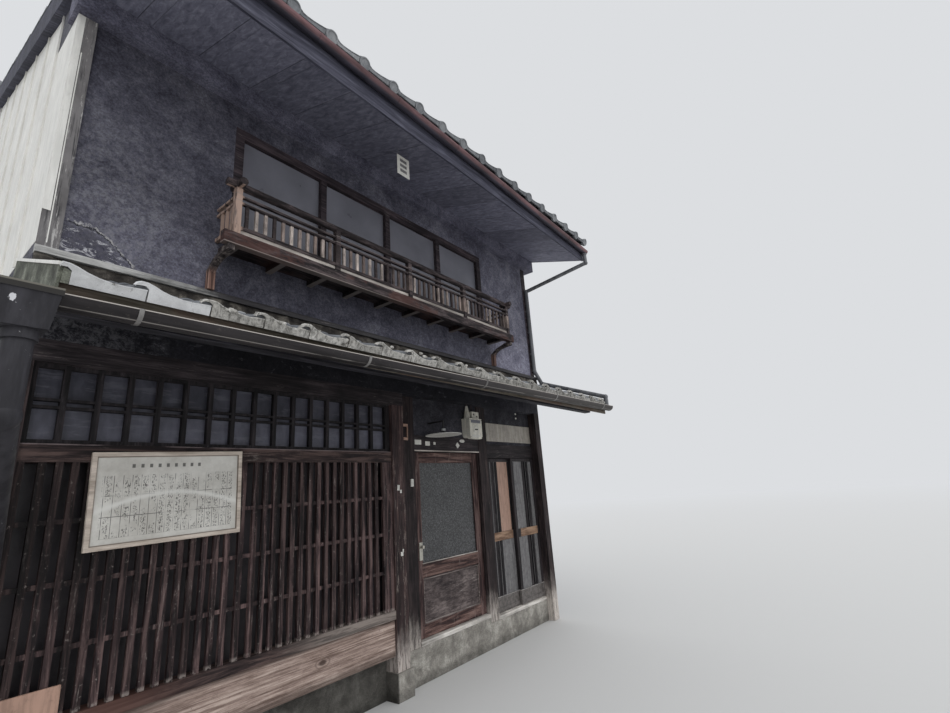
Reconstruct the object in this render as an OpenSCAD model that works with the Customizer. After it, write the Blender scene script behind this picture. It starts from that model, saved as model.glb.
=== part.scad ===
// Two-storey machiya townhouse in a row: plain party walls at both ends,
// a latticed shop front with two doorways, a pent roof, a plastered upper
// storey with a balcony rail, and a tiled gable roof along the street.
// X runs along the front to the right, Y into the house, Z up.

/* [House] */
// Length of the front between the outer faces of the party walls
house_w = 5570; // [5300:10:6200]
// Depth between the outer faces of the front and back walls
house_d = 7880; // [6400:10:9800]
// Thickness of the front and back walls
wall_t = 120; // [110:5:150]
// Thickness of the party walls
party_t = 90; // [70:5:110]
// Thickness of the ground floor
floor_t = 150; // [100:10:200]
// Height of the top of the upper floor
upper_floor_z = 3100; // [3000:10:3180]
// Thickness of the upper floor
upper_floor_t = 150; // [100:10:200]
// Height of the underside of the wall plates
plate_z = 4895; // [4855:10:5035]

/* [Main roof] */
// Rise of the main roof for each unit of run
roof_pitch = 0.325; // [0.28:0.005:0.42]
// Reach of the roof boards in front of the front wall
eave_out = 905; // [800:5:1100]
// Reach of the roof beyond the left party wall
verge_left = 56; // [56:4:120]
// Reach of the roof beyond the right party wall
verge_right = 180; // [180:5:240]
// Depth of the roof's boxed rafters and boards, measured upright
deck_t = 245; // [60:5:250]
// Thickness of the tiles, measured upright
tile_t = 80; // [60:5:100]
// Reach of the eave tiles past the roof boards
tile_drip = 95; // [70:5:100]
// Depth of the wall plate in front of the wall
plate_out = 90; // [60:10:160]
// Height of the wall plate at its front face
plate_h = 180; // [110:5:190]
// Reach of the wall plate beyond the left party wall
plate_left = 28; // [10:2:30]
// Reach of the wall plate beyond the right party wall
plate_right = 150; // [60:5:150]
// Width of the ridge courses at their foot
ridge_w = 250; // [200:10:300]
// Height of one flat ridge course
ridge_course_h = 45; // [35:5:60]
// Number of flat ridge courses
ridge_courses = 3; // [2:1:4]

/* [Pent roof] */
// Rise of the pent roof for each unit of run
pent_pitch = 0.38; // [0.34:0.005:0.42]
// Reach of the pent roof boards in front of the wall
pent_out = 965; // [800:5:1100]
// Height of the pent roof's underside at its eave
pent_z = 2573; // [2540:1:2600]
// Thickness of the pent roof boards, measured upright
pent_deck_t = 50; // [35:5:65]
// Thickness of the pent roof tiles, measured upright
pent_tile_t = 90; // [70:5:95]
// Reach of the pent roof's tiles past its boards
pent_tile_drip = 50; // [30:5:60]
// Reach of the pent roof past each party wall
pent_side = 50; // [20:5:70]
// Distance from the pent roof's eave to its beam
pent_beam_in = 170; // [120:10:240]
// Height of the weathered board at the foot of the upper wall
ledge_h = 52; // [40:2:70]
// Height of that board over the pent roof's tiles
ledge_gap = 60; // [10:5:70]
// Thickness of that board
ledge_t = 45; // [30:5:50]

/* [Gutters] */
// Outer radius of the pent roof's half-round gutter
gutter_r = 58; // [50:1:62]
// Outer radius of the main roof's half-round gutters
eave_gutter_r = 46; // [38:1:54]
// Metal thickness of the gutters
gutter_t = 3; // [2:0.5:5]
// Drop of the upper gutters' rim below the tiles over it
gutter_drop = 4; // [4:2:80]
// Fall of the upper front gutter along the front to its downpipe
eave_gutter_fall = 95; // [0:5:110]
// Drop of the lower gutter's rim below the tiles at its right end
pent_gutter_drop = 4; // [4:2:20]
// Fall of the lower gutter along the front to its hopper
pent_gutter_fall = 68; // [0:2:76]
// Width of the rain hopper along the front
hopper_w = 190; // [170:10:300]
// Depth of the rain hopper
hopper_d = 190; // [160:10:220]
// Height of the rain hopper's upright rim
hopper_h = 30; // [20:5:60]
// Height of the hopper's tapered body
hopper_taper = 140; // [100:10:170]
// Height of the collar under the hopper
hopper_collar = 40; // [30:5:50]
// Radius of the large downpipe
big_pipe_r = 48; // [36:2:54]
// Radius of the small downpipe
pipe_r = 27; // [24:1:34]
// Straight drop of the large downpipe under its hopper
big_pipe_straight = 330; // [200:10:450]
// Height over which the large downpipe runs back to the end post
big_pipe_run = 670; // [500:10:800]
// Height of the large downpipe's open foot over the street
big_pipe_foot = 60; // [40:5:90]

/* [Ground floor front] */
// Width of the front post at each end, left side
end_post_l = 90; // [80:5:140]
// Width of the front post at the right end
end_post_r = 120; // [100:5:140]
// Width and depth of the main post
post_w = 150; // [120:5:180]
// Height of the stone under the main post
post_stone_h = 215; // [150:5:260]
// Margin of that stone round the post
post_stone_margin = 22; // [10:2:40]
// Height of the top of the middle rail
mid_rail_z = 2070; // [2030:5:2100]
// Height of the middle rail
mid_rail_h = 100; // [80:5:120]
// Height of the underside of the front beam
beam_z = 2520; // [2480:5:2540]
// Height of the front beam
beam_h = 130; // [110:5:160]
// Height of the top of the lattice sill
sill_z = 700; // [660:5:760]
// Height of the lattice sill
sill_h = 70; // [50:5:90]
// Height of the skirt board
skirt_h = 290; // [240:5:330]
// Thickness of the skirt board
skirt_t = 30; // [24:1:34]
// Setback of the plinth behind the lattice
plinth_back = 110; // [100:5:140]
// Thickness of the plinth behind the lattice
plinth_t = 110; // [90:5:140]

/* [Lattice] */
// Width of a lattice slat
slat_w = 34; // [26:1:40]
// Depth of a lattice slat
slat_d = 30; // [24:1:34]
// Spacing of the slats that the counts aim at
slat_pitch = 74; // [68:1:84]
// Height of a lattice rail
rail_h = 26; // [18:1:34]
// Depth of a lattice rail
rail_d = 14; // [10:1:18]
// Number of rails between top and bottom
rail_count = 3; // [2:1:4]
// Width of the stile at each end of a lattice
stile_w = 36; // [30:1:50]
// Width of the wide right-hand stile
wide_stile_w = 112; // [90:2:130]
// Distance from the left post to the middle stile
mid_stile_x = 1230; // [1100:10:1400]
// Setback of the lattice from the front face of the main post
lattice_back = 20; // [10:1:30]
// Number of panes across the transom
transom_panes = 16; // [14:1:18]
// Width of a transom bar
transom_bar_w = 30; // [22:1:34]
// Depth of the transom lattice
transom_d = 34; // [26:2:38]
// Thickness of the glass
glass_t = 6; // [4:0.5:8]

/* [Notice board] */
// Width of the notice board
board_w = 872; // [700:2:960]
// Height of the notice board
board_h = 545; // [440:5:600]
// Thickness of the notice board
board_t = 22; // [16:1:24]
// Width of the notice board's frame
board_frame = 26; // [18:1:34]
// Distance from the left post to the board
board_x = 335; // [300:5:400]
// Height of the board's lower edge
board_z = 1478; // [1440:2:1500]
// Tilt of the board on its nails, in degrees
board_tilt = 1.4; // [0:0.1:1.6]

/* [Doors] */
// Width of the hinged door
door_w = 1090; // [960:5:1120]
// Height of the hinged door
door_h = 1740; // [1700:5:1760]
// Height of the hinged door's foot
door_z = 345; // [330:5:360]
// Thickness of the hinged door
door_t = 36; // [30:1:42]
// Gap round a door
door_gap = 5; // [5:0.5:8]
// Width of the board between the main post and the hinged door
jamb_w = 240; // [160:5:260]
// Setback of the doorway posts from the main post's face
jamb_back = 95; // [70:5:110]
// Width of the post between the two doorways
mid_post_w = 165; // [140:5:180]
// Width of the hinged door's stiles
door_stile = 105; // [85:5:120]
// Height of the hinged door's top rail
door_top_rail = 108; // [90:2:120]
// Height of the hinged door's middle rail
door_mid_rail = 118; // [100:2:130]
// Height of the middle rail's foot above the door's foot
door_mid_z = 530; // [480:5:560]
// Height of the hinged door's bottom rail
door_bottom_rail = 120; // [90:5:140]
// Recess of the hinged door behind the doorway posts' faces
door_recess = 45; // [30:1:50]
// Width between the posts of the sliding doors
slide_bay_w = 1060; // [960:5:1100]
// Height of the sliding doors' sill
slide_sill_z = 285; // [275:1:295]
// Height of a sliding door
slide_h = 1735; // [1700:5:1745]
// Thickness of a sliding door
slide_t = 30; // [26:1:32]
// Overlap of the closed sliding doors
slide_lap = 50; // [40:2:60]
// Width of a sliding door's stiles
slide_stile = 42; // [36:1:48]
// Height of the top rail of a sliding door
slide_top_rail = 36; // [30:1:44]
// Height of the kick board of a sliding door
slide_kick = 158; // [130:2:180]
// Height of the cross rail of a sliding door
slide_cross = 96; // [80:2:110]
// Height of the cross rail's foot above the door's foot
slide_cross_z = 765; // [720:5:800]
// Width of a thin bar of a sliding door
slide_bar_w = 26; // [18:1:30]
// Spacing of the two bars of a sliding door
slide_bar_pitch = 46; // [40:1:60]
// Space between the left leaf's stile and its first bar
slide_bar_gap = 14; // [8:1:24]
// Height of the lintel over the doors
lintel_h = 165; // [150:5:180]
// Height of the bare panel over the sliding doors
panel_h = 225; // [180:5:240]
// Height of the bare panel's foot above the lintel
panel_gap = 40; // [20:5:60]
// Width of the electric meter
meter_w = 236; // [200:2:240]
// Distance from the electric meter to the post on its right
meter_x = 42; // [30:2:80]
// Width of the entry lamp's shade
lamp_w = 380; // [320:10:420]
// Distance from the hinged door's left post to the lamp's middle
lamp_x = 245; // [220:5:320]

/* [Upper front] */
// Offset of the window and balcony from the middle of the front
upper_x = -40; // [-80:5:60]
// Width of the window frame over its jambs
window_w = 3330; // [3000:10:3500]
// Height of the window frame's foot
window_z = 3560; // [3550:5:3600]
// Height of the top of the window frame
window_top = 4700; // [4640:5:4740]
// Width of the window frame's jambs
window_jamb = 75; // [60:5:90]
// Height of the window frame's head
window_head = 85; // [70:5:100]
// Width of the window's middle posts
window_mullion = 62; // [50:2:72]
// Number of window panes
window_panes = 4; // [3:1:5]
// Width of the corner board at the left end
corner_board_w = 105; // [60:5:130]

/* [Balcony] */
// Reach of the balcony in front of the wall
balcony_out = 290; // [260:5:330]
// Length of the balcony between its end posts
balcony_w = 3503; // [3300:1:3640]
// Number of bays of the railing
balcony_bays = 4; // [3:1:5]
// Height of the underside of the balcony beam
balcony_z = 3456; // [3440:2:3480]
// Height of the balcony beam
balcony_beam_h = 92; // [80:2:104]
// Depth of the balcony beam
balcony_beam_d = 60; // [50:2:70]
// Thickness of the balcony floor boards
balcony_floor_t = 24; // [18:1:30]
// Height of the handrail's centre above the beam's top
handrail_h = 400; // [380:5:440]
// Radius of the handrail
handrail_r = 30; // [26:1:33]
// Reach of the handrail past each corner
handrail_end = 85; // [60:5:100]
// Width of a railing post
rail_post_w = 46; // [40:1:52]
// Width of the struts and arms under the balcony
bracket_w = 48; // [40:2:54]
// Height of those struts' heads over the foot ledge
bracket_strut_h = 150; // [110:5:170]
// Width of a baluster
baluster_w = 24; // [18:1:28]
// Spacing that the baluster counts aim at
baluster_pitch = 73; // [66:1:82]

/* [Back] */
// Width of the back door
back_door_w = 900; // [800:10:1000]
// Distance from the house's left side to the back door
back_door_x = 700; // [400:10:900]
// Distance from the house's left side to the lower back window
back_window_x = 2400; // [2000:10:2800]
// Height of the top of the back door and the lower back window
back_head_z = 2070; // [1980:10:2100]
// Width of the lower back window
back_window_w = 1700; // [1400:10:1800]
// Height of the lower back window's foot
back_window_z = 1050; // [950:10:1150]
// Width of the upper back window
back_upper_w = 3330; // [2800:10:3500]
// Height of the upper back window's foot
back_upper_z = 3900; // [3800:10:3980]

/* [Hidden] */
$fn = 48;

// Outlines of the house
x_left = -house_w / 2;
x_right = house_w / 2;
front_y = -house_d / 2;
ridge_d = house_d / 2;

// Bays of the ground floor front, counted from the right
x_slide1 = x_right - end_post_r;
x_slide0 = x_slide1 - slide_bay_w;
x_mid0 = x_slide0 - mid_post_w;
x_door0 = x_mid0 - door_w - 2 * door_gap;
x_jamb0 = x_door0 - jamb_w;
x_post0 = x_jamb0 - post_w;
x_bay0 = x_left + end_post_l;

// Depths that several pieces share
plinth_d1 = plinth_back + plinth_t;
door_d0 = jamb_back + door_recess;
jamb_d1 = door_d0 + door_t;
track_gap = 6;
hinge_fit = 0.1;
swing_room = 2;
pipe_elbow = 5;
big_pipe_clips = [350, 1050];
big_pipe_clip_t = 12;
big_pipe_clip_h = 30;
outer_d0 = jamb_back + track_gap;
inner_d0 = outer_d0 + slide_t + track_gap;
panel_back = jamb_back + 15;

// Heights that several pieces share
stone_joint = 2;
seat = 0.3;
sill_board = 38;
wall_z = beam_z + beam_h;
door_sill_z = door_z - door_gap;
door_head_z = door_z + door_h + door_gap;
track_rail_h = 8;
slide_z = slide_sill_z + track_rail_h + seat;
slide_head_z = slide_z + slide_h + door_gap;
slide_leaf_w = (slide_bay_w - 2 * door_gap + slide_lap) / 2;
balcony_top_z = balcony_z + balcony_beam_h;
handrail_z = balcony_top_z + handrail_h;

// Roof undersides at a depth behind the front face
function roof_under(d) = plate_z + plate_h + (plate_out + d) * roof_pitch;
function pent_under(d) = pent_z + (pent_out + d) * pent_pitch;
fascia_t = 18;
fascia_drop = 15;
pent_fascia_drop = 60;
pent_top = pent_deck_t + pent_tile_t;
ledge_z = pent_under(0) + pent_top + ledge_gap;
ledge_top_z = ledge_z + ledge_h;
eave_gutter_d = -eave_out - fascia_t - eave_gutter_r;
eave_rim_z = roof_under(-eave_out - tile_drip) + deck_t - gutter_drop;
pent_gutter_d = -pent_out - fascia_t - gutter_r;
pent_rim_z1 = pent_under(-pent_out - pent_tile_drip) + pent_deck_t - pent_gutter_drop;
pent_rim_z0 = pent_rim_z1 - pent_gutter_fall;
pent_x0 = x_left - pent_side;
pent_x1 = x_right + pent_side;
roof_x0 = x_left - verge_left;
roof_x1 = x_right + verge_right;

// A box from its low corner; depth counts inward from the front face
module box(x0, x1, d0, d1, z0, z1) {
    translate([x0, front_y + d0, z0]) cube([x1 - x0, d1 - d0, z1 - z0]);
}

// The same box, with its depth counted inward from the back face
module back_box(x0, x1, d0, d1, z0, z1) {
    box(x0, x1, house_d - d1, house_d - d0, z0, z1);
}

// An outline in depth and height, drawn along X
module along_x(x0, x1, points) {
    translate([x0, front_y, 0])
        rotate([90, 0, 90])
            linear_extrude(x1 - x0) polygon(points);
}

// A straight round bar between two points given as [x, depth, z]
module bar(a, b, r) {
    v = b - a;
    l = norm(v);
    translate(a + [0, front_y, 0])
        rotate([0, acos(v[2] / l), atan2(v[1], v[0])])
            cylinder(h = l, r = r);
}

// A round pipe through a list of points, with a ball-shaped elbow at each corner
module pipe(points, r) {
    for (i = [1 : len(points) - 1]) bar(points[i - 1], points[i], r);
    for (i = [1 : len(points) - 2]) translate(points[i] + [0, front_y, 0]) sphere(r + pipe_elbow);
}

// A square outline with round corners
module round_square(w, h, r) {
    translate([r, 0]) square([w - 2 * r, h]);
    translate([0, r]) square([w, h - 2 * r]);
    for (x = [r, w - r], y = [r, h - r]) translate([x, y]) circle(r);
}

// A half-round channel along X with a strap at each hanger; it rises by `fall` to the right
module half_round_gutter(r, x0, x1, d, rim_z, hangers, fall = 0) {
    strap_w = 24;
    strap_t = 4;
    translate([x0, front_y + d, rim_z])
        rotate([0, -asin(fall / (x1 - x0)), 0]) {
            rotate([90, 0, 90]) {
                linear_extrude(x1 - x0)
                    difference() {
                        circle(r);
                        circle(r - gutter_t);
                        translate([-2 * r, 0]) square(4 * r);
                    }
                for (x = [0, x1 - x0 - gutter_t]) translate([0, 0, x])
                    linear_extrude(gutter_t)
                        difference() {
                            circle(r);
                            translate([-2 * r, 0]) square(4 * r);
                        }
            }
            for (i = [0 : hangers - 1])
                translate([(i + 0.5) * (x1 - x0) / hangers - strap_w / 2, -r, -strap_t])
                    cube([strap_w, 2 * r, strap_t]);
        }
}

module ground_floor() {
    color("#8a857c")
        box(x_left + party_t, x_right - party_t, plinth_d1, house_d - wall_t, 0, floor_t);
}

module upper_floor() {
    color("#7b5f45")
        box(x_left + party_t, x_right - party_t, wall_t, house_d - wall_t,
            upper_floor_z - upper_floor_t, upper_floor_z);
}

// Gable-shaped party wall up to the underside of the roof
module party_wall(x0) {
    along_x(x0, x0 + party_t, [
        [wall_t, 0], [house_d - wall_t, 0],
        [house_d - wall_t, roof_under(wall_t) - seat], [ridge_d, roof_under(ridge_d) - seat],
        [wall_t, roof_under(wall_t) - seat]
    ]);
}

module left_party_wall() {
    color("#4a4a4e") party_wall(x_left);
}

module right_party_wall() {
    color("#4a4a4e") party_wall(x_right - party_t);
}

// Plinths behind the lattice and under the doors, and the main post's stone
module base_stones() {
    x0 = x_post0 - post_stone_margin;
    x1 = x_jamb0 + post_stone_margin;
    color("#8d8a84") {
        box(x_left + party_t, x0 - stone_joint, wall_t, plinth_d1, 0, sill_z - sill_h);
        box(x0, x1, -post_stone_margin, post_w + post_stone_margin, 0, post_stone_h);
        box(x1 + stone_joint, x_mid0 - stone_joint, jamb_back - 10, plinth_d1, 0, door_sill_z - sill_board);
        box(x_mid0, x_slide1, jamb_back - 10, plinth_d1, 0, slide_sill_z - sill_board);
    }
}

module main_post() {
    color("#4b3a35") box(x_post0, x_jamb0, 0, post_w, post_stone_h, beam_z);
}

// End posts, and the posts beside the doorways with their door stops
module front_posts() {
    stop_w = 12;
    stop_d0 = jamb_back + 18;
    stop_d1 = door_d0 - door_gap;
    color("#3a3032") {
        box(x_left, x_bay0, 0, wall_t, 0, beam_z);
        box(x_slide1, x_right, 0, wall_t, 0, wall_z);
        box(x_jamb0, x_door0, jamb_back, jamb_d1, door_sill_z - sill_board, wall_z);
        box(x_door0, x_door0 + stop_w, stop_d0, stop_d1, door_sill_z, door_head_z);
        box(x_mid0, x_slide0, jamb_back, jamb_d1, slide_sill_z - sill_board, wall_z);
        box(x_mid0 - stop_w, x_mid0, stop_d0, stop_d1, door_sill_z, door_head_z);
    }
}

module front_beam() {
    color("#3b3436") box(x_left, x_jamb0, 0, wall_t, beam_z, wall_z);
}

// Middle rail over the lattice, and the sill that the lattice stands on
module lattice_rails() {
    color("#4a3b36") {
        box(x_bay0, x_post0, lattice_back, wall_t, mid_rail_z - mid_rail_h, mid_rail_z);
        box(x_bay0, x_post0, lattice_back - 15, wall_t + 20, sill_z - sill_h, sill_z);
    }
}

// Evenly spaced slats between two stiles
module slats(x0, x1, z0, z1) {
    n = round((x1 - x0) / slat_pitch) - 1;
    step = (x1 - x0) / (n + 1);
    for (i = [1 : n]) box(x0 + i * step - slat_w / 2, x0 + i * step + slat_w / 2,
        lattice_back, lattice_back + slat_d, z0, z1);
}

// Slatted front with rails let through the slats
module front_lattice() {
    z0 = sill_z;
    z1 = mid_rail_z - mid_rail_h;
    x_mid = x_bay0 + mid_stile_x;
    rail_d0 = lattice_back + (slat_d - rail_d) / 2;
    color("#3d2b28") {
        for (s = [[x_bay0, stile_w], [x_mid - stile_w / 2, stile_w], [x_post0 - wide_stile_w, wide_stile_w]])
            box(s[0], s[0] + s[1], lattice_back, lattice_back + slat_d, z0, z1);
        slats(x_bay0 + stile_w, x_mid - stile_w / 2, z0, z1);
        slats(x_mid + stile_w / 2, x_post0 - wide_stile_w, z0, z1);
        for (i = [1 : rail_count]) {
            z = z0 + i * (z1 - z0) / (rail_count + 1);
            box(x_bay0, x_post0, rail_d0, rail_d0 + rail_d, z - rail_h / 2, z + rail_h / 2);
        }
    }
}

// Barred frame of the glazed strip over the middle rail
module transom_lattice() {
    frame_h = 24;
    mid_gap = 26;
    mid_h = 16;
    d0 = lattice_back + 20;
    d1 = d0 + transom_d;
    z_mid = (mid_rail_z + beam_z) / 2;
    x1 = x_post0 - wide_stile_w / 2;
    step = (x1 - x_bay0) / transom_panes;
    color("#2e2a2c") {
        box(x_bay0, x_post0, d0, d1, mid_rail_z, mid_rail_z + frame_h);
        box(x_bay0, x_post0, d0, d1, beam_z - frame_h, beam_z);
        box(x_bay0, x_bay0 + transom_bar_w, d0, d1, mid_rail_z, beam_z);
        box(x1, x_post0, d0, d1, mid_rail_z, beam_z);
        for (i = [1 : transom_panes - 1])
            box(x_bay0 + i * step - transom_bar_w / 2, x_bay0 + i * step + transom_bar_w / 2,
                d0, d1, mid_rail_z, beam_z);
        for (z = [z_mid - mid_gap / 2 - mid_h, z_mid + mid_gap / 2]) box(x_bay0, x_post0, d0, d1, z, z + mid_h);
    }
}

// Glass behind the transom bars and behind the lattice
module front_glazing() {
    d0 = lattice_back + 20 + transom_d;
    color("#9aa0a3") {
        box(x_bay0, x_post0, d0, d0 + glass_t, mid_rail_z, beam_z);
        box(x_bay0, x_post0, wall_t - glass_t, wall_t, sill_z, mid_rail_z - mid_rail_h);
    }
}

module skirt_board() {
    color("#a08f82")
        box(x_bay0, x_post0, lattice_back + 5, lattice_back + 5 + skirt_t,
            sill_z - sill_h - skirt_h, sill_z - sill_h);
}

// Framed board hung on the lattice, a little out of level
module notice_board() {
    field_t = board_t - 8;
    color("#cfc9bf")
        translate([x_bay0 + board_x, front_y + lattice_back, board_z])
            rotate([0, -board_tilt, 0])
                difference() {
                    translate([0, -board_t, 0]) cube([board_w, board_t, board_h]);
                    translate([board_frame, -board_t - 1, board_frame])
                        cube([board_w - 2 * board_frame, board_t - field_t + 1, board_h - 2 * board_frame]);
                }
}

module door_lintels() {
    color("#352c2e") {
        box(x_door0, x_mid0, jamb_back + 5, jamb_d1, door_head_z, door_head_z + lintel_h);
        box(x_slide0, x_slide1, jamb_back, jamb_d1, slide_head_z, slide_head_z + lintel_h);
    }
}

module over_door_wall() {
    color("#39383c") {
        box(x_door0, x_mid0, panel_back, jamb_d1, door_head_z + lintel_h, wall_z);
        box(x_slide0, x_slide1, panel_back, jamb_d1, slide_head_z + lintel_h, wall_z);
    }
}

module transom_panel() {
    z0 = slide_head_z + lintel_h + panel_gap;
    color("#bdb5a6") box(x_slide0 + 10, x_slide1 - 10, panel_back - 12, panel_back, z0, z0 + panel_h);
}

// Sill of the hinged door, and the two-railed sill of the sliding doors
module door_sills() {
    rail_w = 6;
    color("#9c948a") {
        box(x_door0, x_mid0, jamb_back - 5, jamb_d1, door_sill_z - sill_board, door_sill_z);
        box(x_slide0, x_slide1, jamb_back - 5, jamb_d1, slide_sill_z - sill_board, slide_sill_z);
        for (d = [outer_d0, inner_d0])
            box(x_slide0, x_slide1, d + (slide_t - rail_w) / 2, d + (slide_t + rail_w) / 2,
                slide_sill_z, slide_sill_z + track_rail_h);
    }
}

// Heights of the three hinges above the door's foot, and their common sizes
hinge_h = 90;
hinge_zs = [150, (door_h - hinge_h) / 2, door_h - 240];
hinge_r = 8;
hinge_pin_r = 4;
hinge_x = x_mid0 - door_gap / 2;
hinge_d = jamb_d1 + hinge_r;
leaf_x0 = x_door0 + door_gap + swing_room;
leaf_x1 = x_mid0 - door_gap;

// Panelled door with one tall pane
module hinged_door() {
    z_mid = door_z + door_mid_z;
    panel_back_in = 12;
    color("#5a3f3b") {
        box(leaf_x0, leaf_x0 + door_stile, door_d0, door_d0 + door_t, door_z, door_z + door_h);
        box(leaf_x1 - door_stile, leaf_x1, door_d0, door_d0 + door_t, door_z, door_z + door_h);
        box(leaf_x0, leaf_x1, door_d0, door_d0 + door_t, door_z, door_z + door_bottom_rail);
        box(leaf_x0, leaf_x1, door_d0, door_d0 + door_t, z_mid, z_mid + door_mid_rail);
        box(leaf_x0, leaf_x1, door_d0, door_d0 + door_t, door_z + door_h - door_top_rail, door_z + door_h);
        box(leaf_x0, leaf_x1, door_d0 + panel_back_in, door_d0 + door_t - panel_back_in, door_z, z_mid);
    }
}

module hinged_door_glass() {
    color("#8f9594")
        box(leaf_x0 + door_stile, leaf_x1 - door_stile, door_d0 + (door_t - glass_t) / 2,
            door_d0 + (door_t + glass_t) / 2, door_z + door_mid_z + door_mid_rail,
            door_z + door_h - door_top_rail);
}

// Lock case with its knob, and the door's own halves of the hinges
module hinged_door_fittings() {
    lock_w = 46;
    lock_h = 165;
    lock_t = 10;
    lock_x = leaf_x0 + door_stile - lock_w - 8;
    lock_z = door_z + door_mid_z + 160;
    knob_r = 15;
    knob_l = 38;
    color("#b9b6ad") {
        box(lock_x, lock_x + lock_w, door_d0 - lock_t, door_d0, lock_z, lock_z + lock_h);
        bar([lock_x + lock_w / 2, door_d0 - lock_t - knob_l, lock_z + lock_h * 0.75],
            [lock_x + lock_w / 2, door_d0 - lock_t, lock_z + lock_h * 0.75], knob_r);
        for (z = hinge_zs) hinge_half(door_z + z, 1);
    }
}

// One half of a hinge: side 1 is the door's, side 0 the post's
module hinge_half(z, side) {
    plate_w = 30;
    plate_t = 2;
    knuckle_h = hinge_h / 3;
    x0 = side == 1 ? leaf_x1 : x_mid0 - plate_t;
    box(x0, x0 + plate_t, door_d0 + door_t - plate_w, door_d0 + door_t - 2, z, z + hinge_h);
    translate([hinge_x, front_y + hinge_d, z]) {
        if (side == 1)
            difference() {
                translate([0, 0, knuckle_h + 1]) cylinder(h = knuckle_h - 2, r = hinge_r);
                cylinder(h = hinge_h, r = hinge_pin_r + hinge_fit);
            }
        else {
            cylinder(h = knuckle_h, r = hinge_r);
            translate([0, 0, 2 * knuckle_h]) cylinder(h = knuckle_h, r = hinge_r);
            cylinder(h = hinge_h, r = hinge_pin_r);
        }
    }
    for (k = side == 1 ? [1] : [0, 2])
        difference() {
            box(x0, x0 + plate_t, door_d0 + door_t - 3, hinge_d,
                z + k * knuckle_h + side, z + (k + 1) * knuckle_h - side);
            translate([hinge_x, front_y + hinge_d, z]) cylinder(h = hinge_h, r = hinge_pin_r + hinge_fit);
        }
}

module door_hinges() {
    color("#6b6864") for (z = hinge_zs) hinge_half(door_z + z, 0);
}

// Frame of a sliding door: stiles, rails, kick board and a pair of thin bars
module slide_frame(x0, d0, bars_x) {
    x1 = x0 + slide_leaf_w;
    d1 = d0 + slide_t;
    z1 = slide_z + slide_h;
    color("#4a4444") {
        for (x = [x0, x1 - slide_stile]) box(x, x + slide_stile, d0, d1, slide_z, z1);
        box(x0, x1, d0, d1, z1 - slide_top_rail, z1);
        box(x0, x1, d0 + 6, d1 - 6, slide_z, slide_z + slide_kick);
        box(x0, x1, d0, d1, slide_z, slide_z + 45);
        box(x0, x1, d0, d1, slide_z + slide_kick - 25, slide_z + slide_kick);
        box(x0, x1, d0, d1, slide_z + slide_cross_z, slide_z + slide_cross_z + slide_cross);
        for (x = [x0 + bars_x, x0 + bars_x + slide_bar_pitch])
            box(x, x + slide_bar_w, d0 + 4, d0 + (slide_t - slide_pane_t) / 2,
                slide_z + slide_kick, z1 - slide_top_rail);
    }
}

// Panes of a sliding door, above and below the cross rail
module slide_panes(x0, d0) {
    x1 = x0 + slide_leaf_w;
    d = d0 + slide_t / 2;
    color("#8d9296")
        for (z = [[slide_kick, slide_cross_z], [slide_cross_z + slide_cross, slide_h - slide_top_rail]])
            box(x0 + slide_stile, x1 - slide_stile, d - slide_pane_t / 2, d + slide_pane_t / 2,
                slide_z + z[0], slide_z + z[1]);
}
slide_pane_t = 4;
slide_left_x = x_slide0 + door_gap;
slide_right_x = x_slide1 - door_gap - slide_leaf_w;

module sliding_door_left() {
    slide_frame(slide_left_x, inner_d0, slide_stile + slide_bar_gap);
}

module sliding_panes_left() {
    slide_panes(slide_left_x, inner_d0);
}

module sliding_door_right() {
    slide_frame(slide_right_x, outer_d0, slide_leaf_w / 2);
}

module sliding_panes_right() {
    slide_panes(slide_right_x, outer_d0);
}

// One part of the meter's case: round lower corners, its depths counted from the front face
module meter_case(inset, d0, d1, z0, z1) {
    corner_r = 34;
    w = meter_w - 2 * inset;
    translate([x_mid0 - meter_x - meter_w + inset, front_y + d1, z0])
        rotate([90, 0, 0])
            linear_extrude(d1 - d0)
                union() {
                    round_square(w, z1 - z0, corner_r);
                    translate([0, (z1 - z0) / 2]) square([w, (z1 - z0) / 2]);
                }
}

// Electric meter: a back case, a seam, a deeper front case, a terminal block and a cable boot
module electric_meter() {
    back_t = 56;
    seam_t = 8;
    front_t = 52;
    case_h = 222;
    dial_r = 36;
    block_w = 132;
    block_t = 84;
    block_h = 84;
    port_r = 13;
    boot_h = 150;
    x0 = x_mid0 - meter_x - meter_w;
    z0 = door_head_z + lintel_h + 4;
    z1 = z0 + case_h;
    d_seam = panel_back - back_t;
    d_front = d_seam - seam_t - front_t;
    d_block = panel_back - block_t;
    block_x = x0 + meter_w - block_w - 8;
    dial_x = x0 + meter_w / 2;
    dial_z = z0 + 0.4 * case_h;
    color("#b4b2a4") {
        meter_case(0, d_seam, panel_back, z0, z1);
        meter_case(8, d_seam - seam_t, d_seam, z0 + 8, z1 - 8);
        meter_case(2, d_front, d_seam - seam_t, z0 - 18, z1 - 4);
        bar([dial_x, d_front - 5, dial_z], [dial_x, d_front, dial_z], dial_r);
        difference() {
            box(block_x, block_x + block_w, d_block, panel_back, z1, z1 + block_h);
            for (p = [[0.28, 0.62], [0.72, 0.36]])
                bar([block_x + p[0] * block_w, d_block - 1, z1 + p[1] * block_h],
                    [block_x + p[0] * block_w, d_block + 30, z1 + p[1] * block_h], port_r);
        }
        translate([x0 + 50, front_y + panel_back - 44, z1]) cylinder(h = boot_h, r1 = 42, r2 = 14);
    }
}

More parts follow.
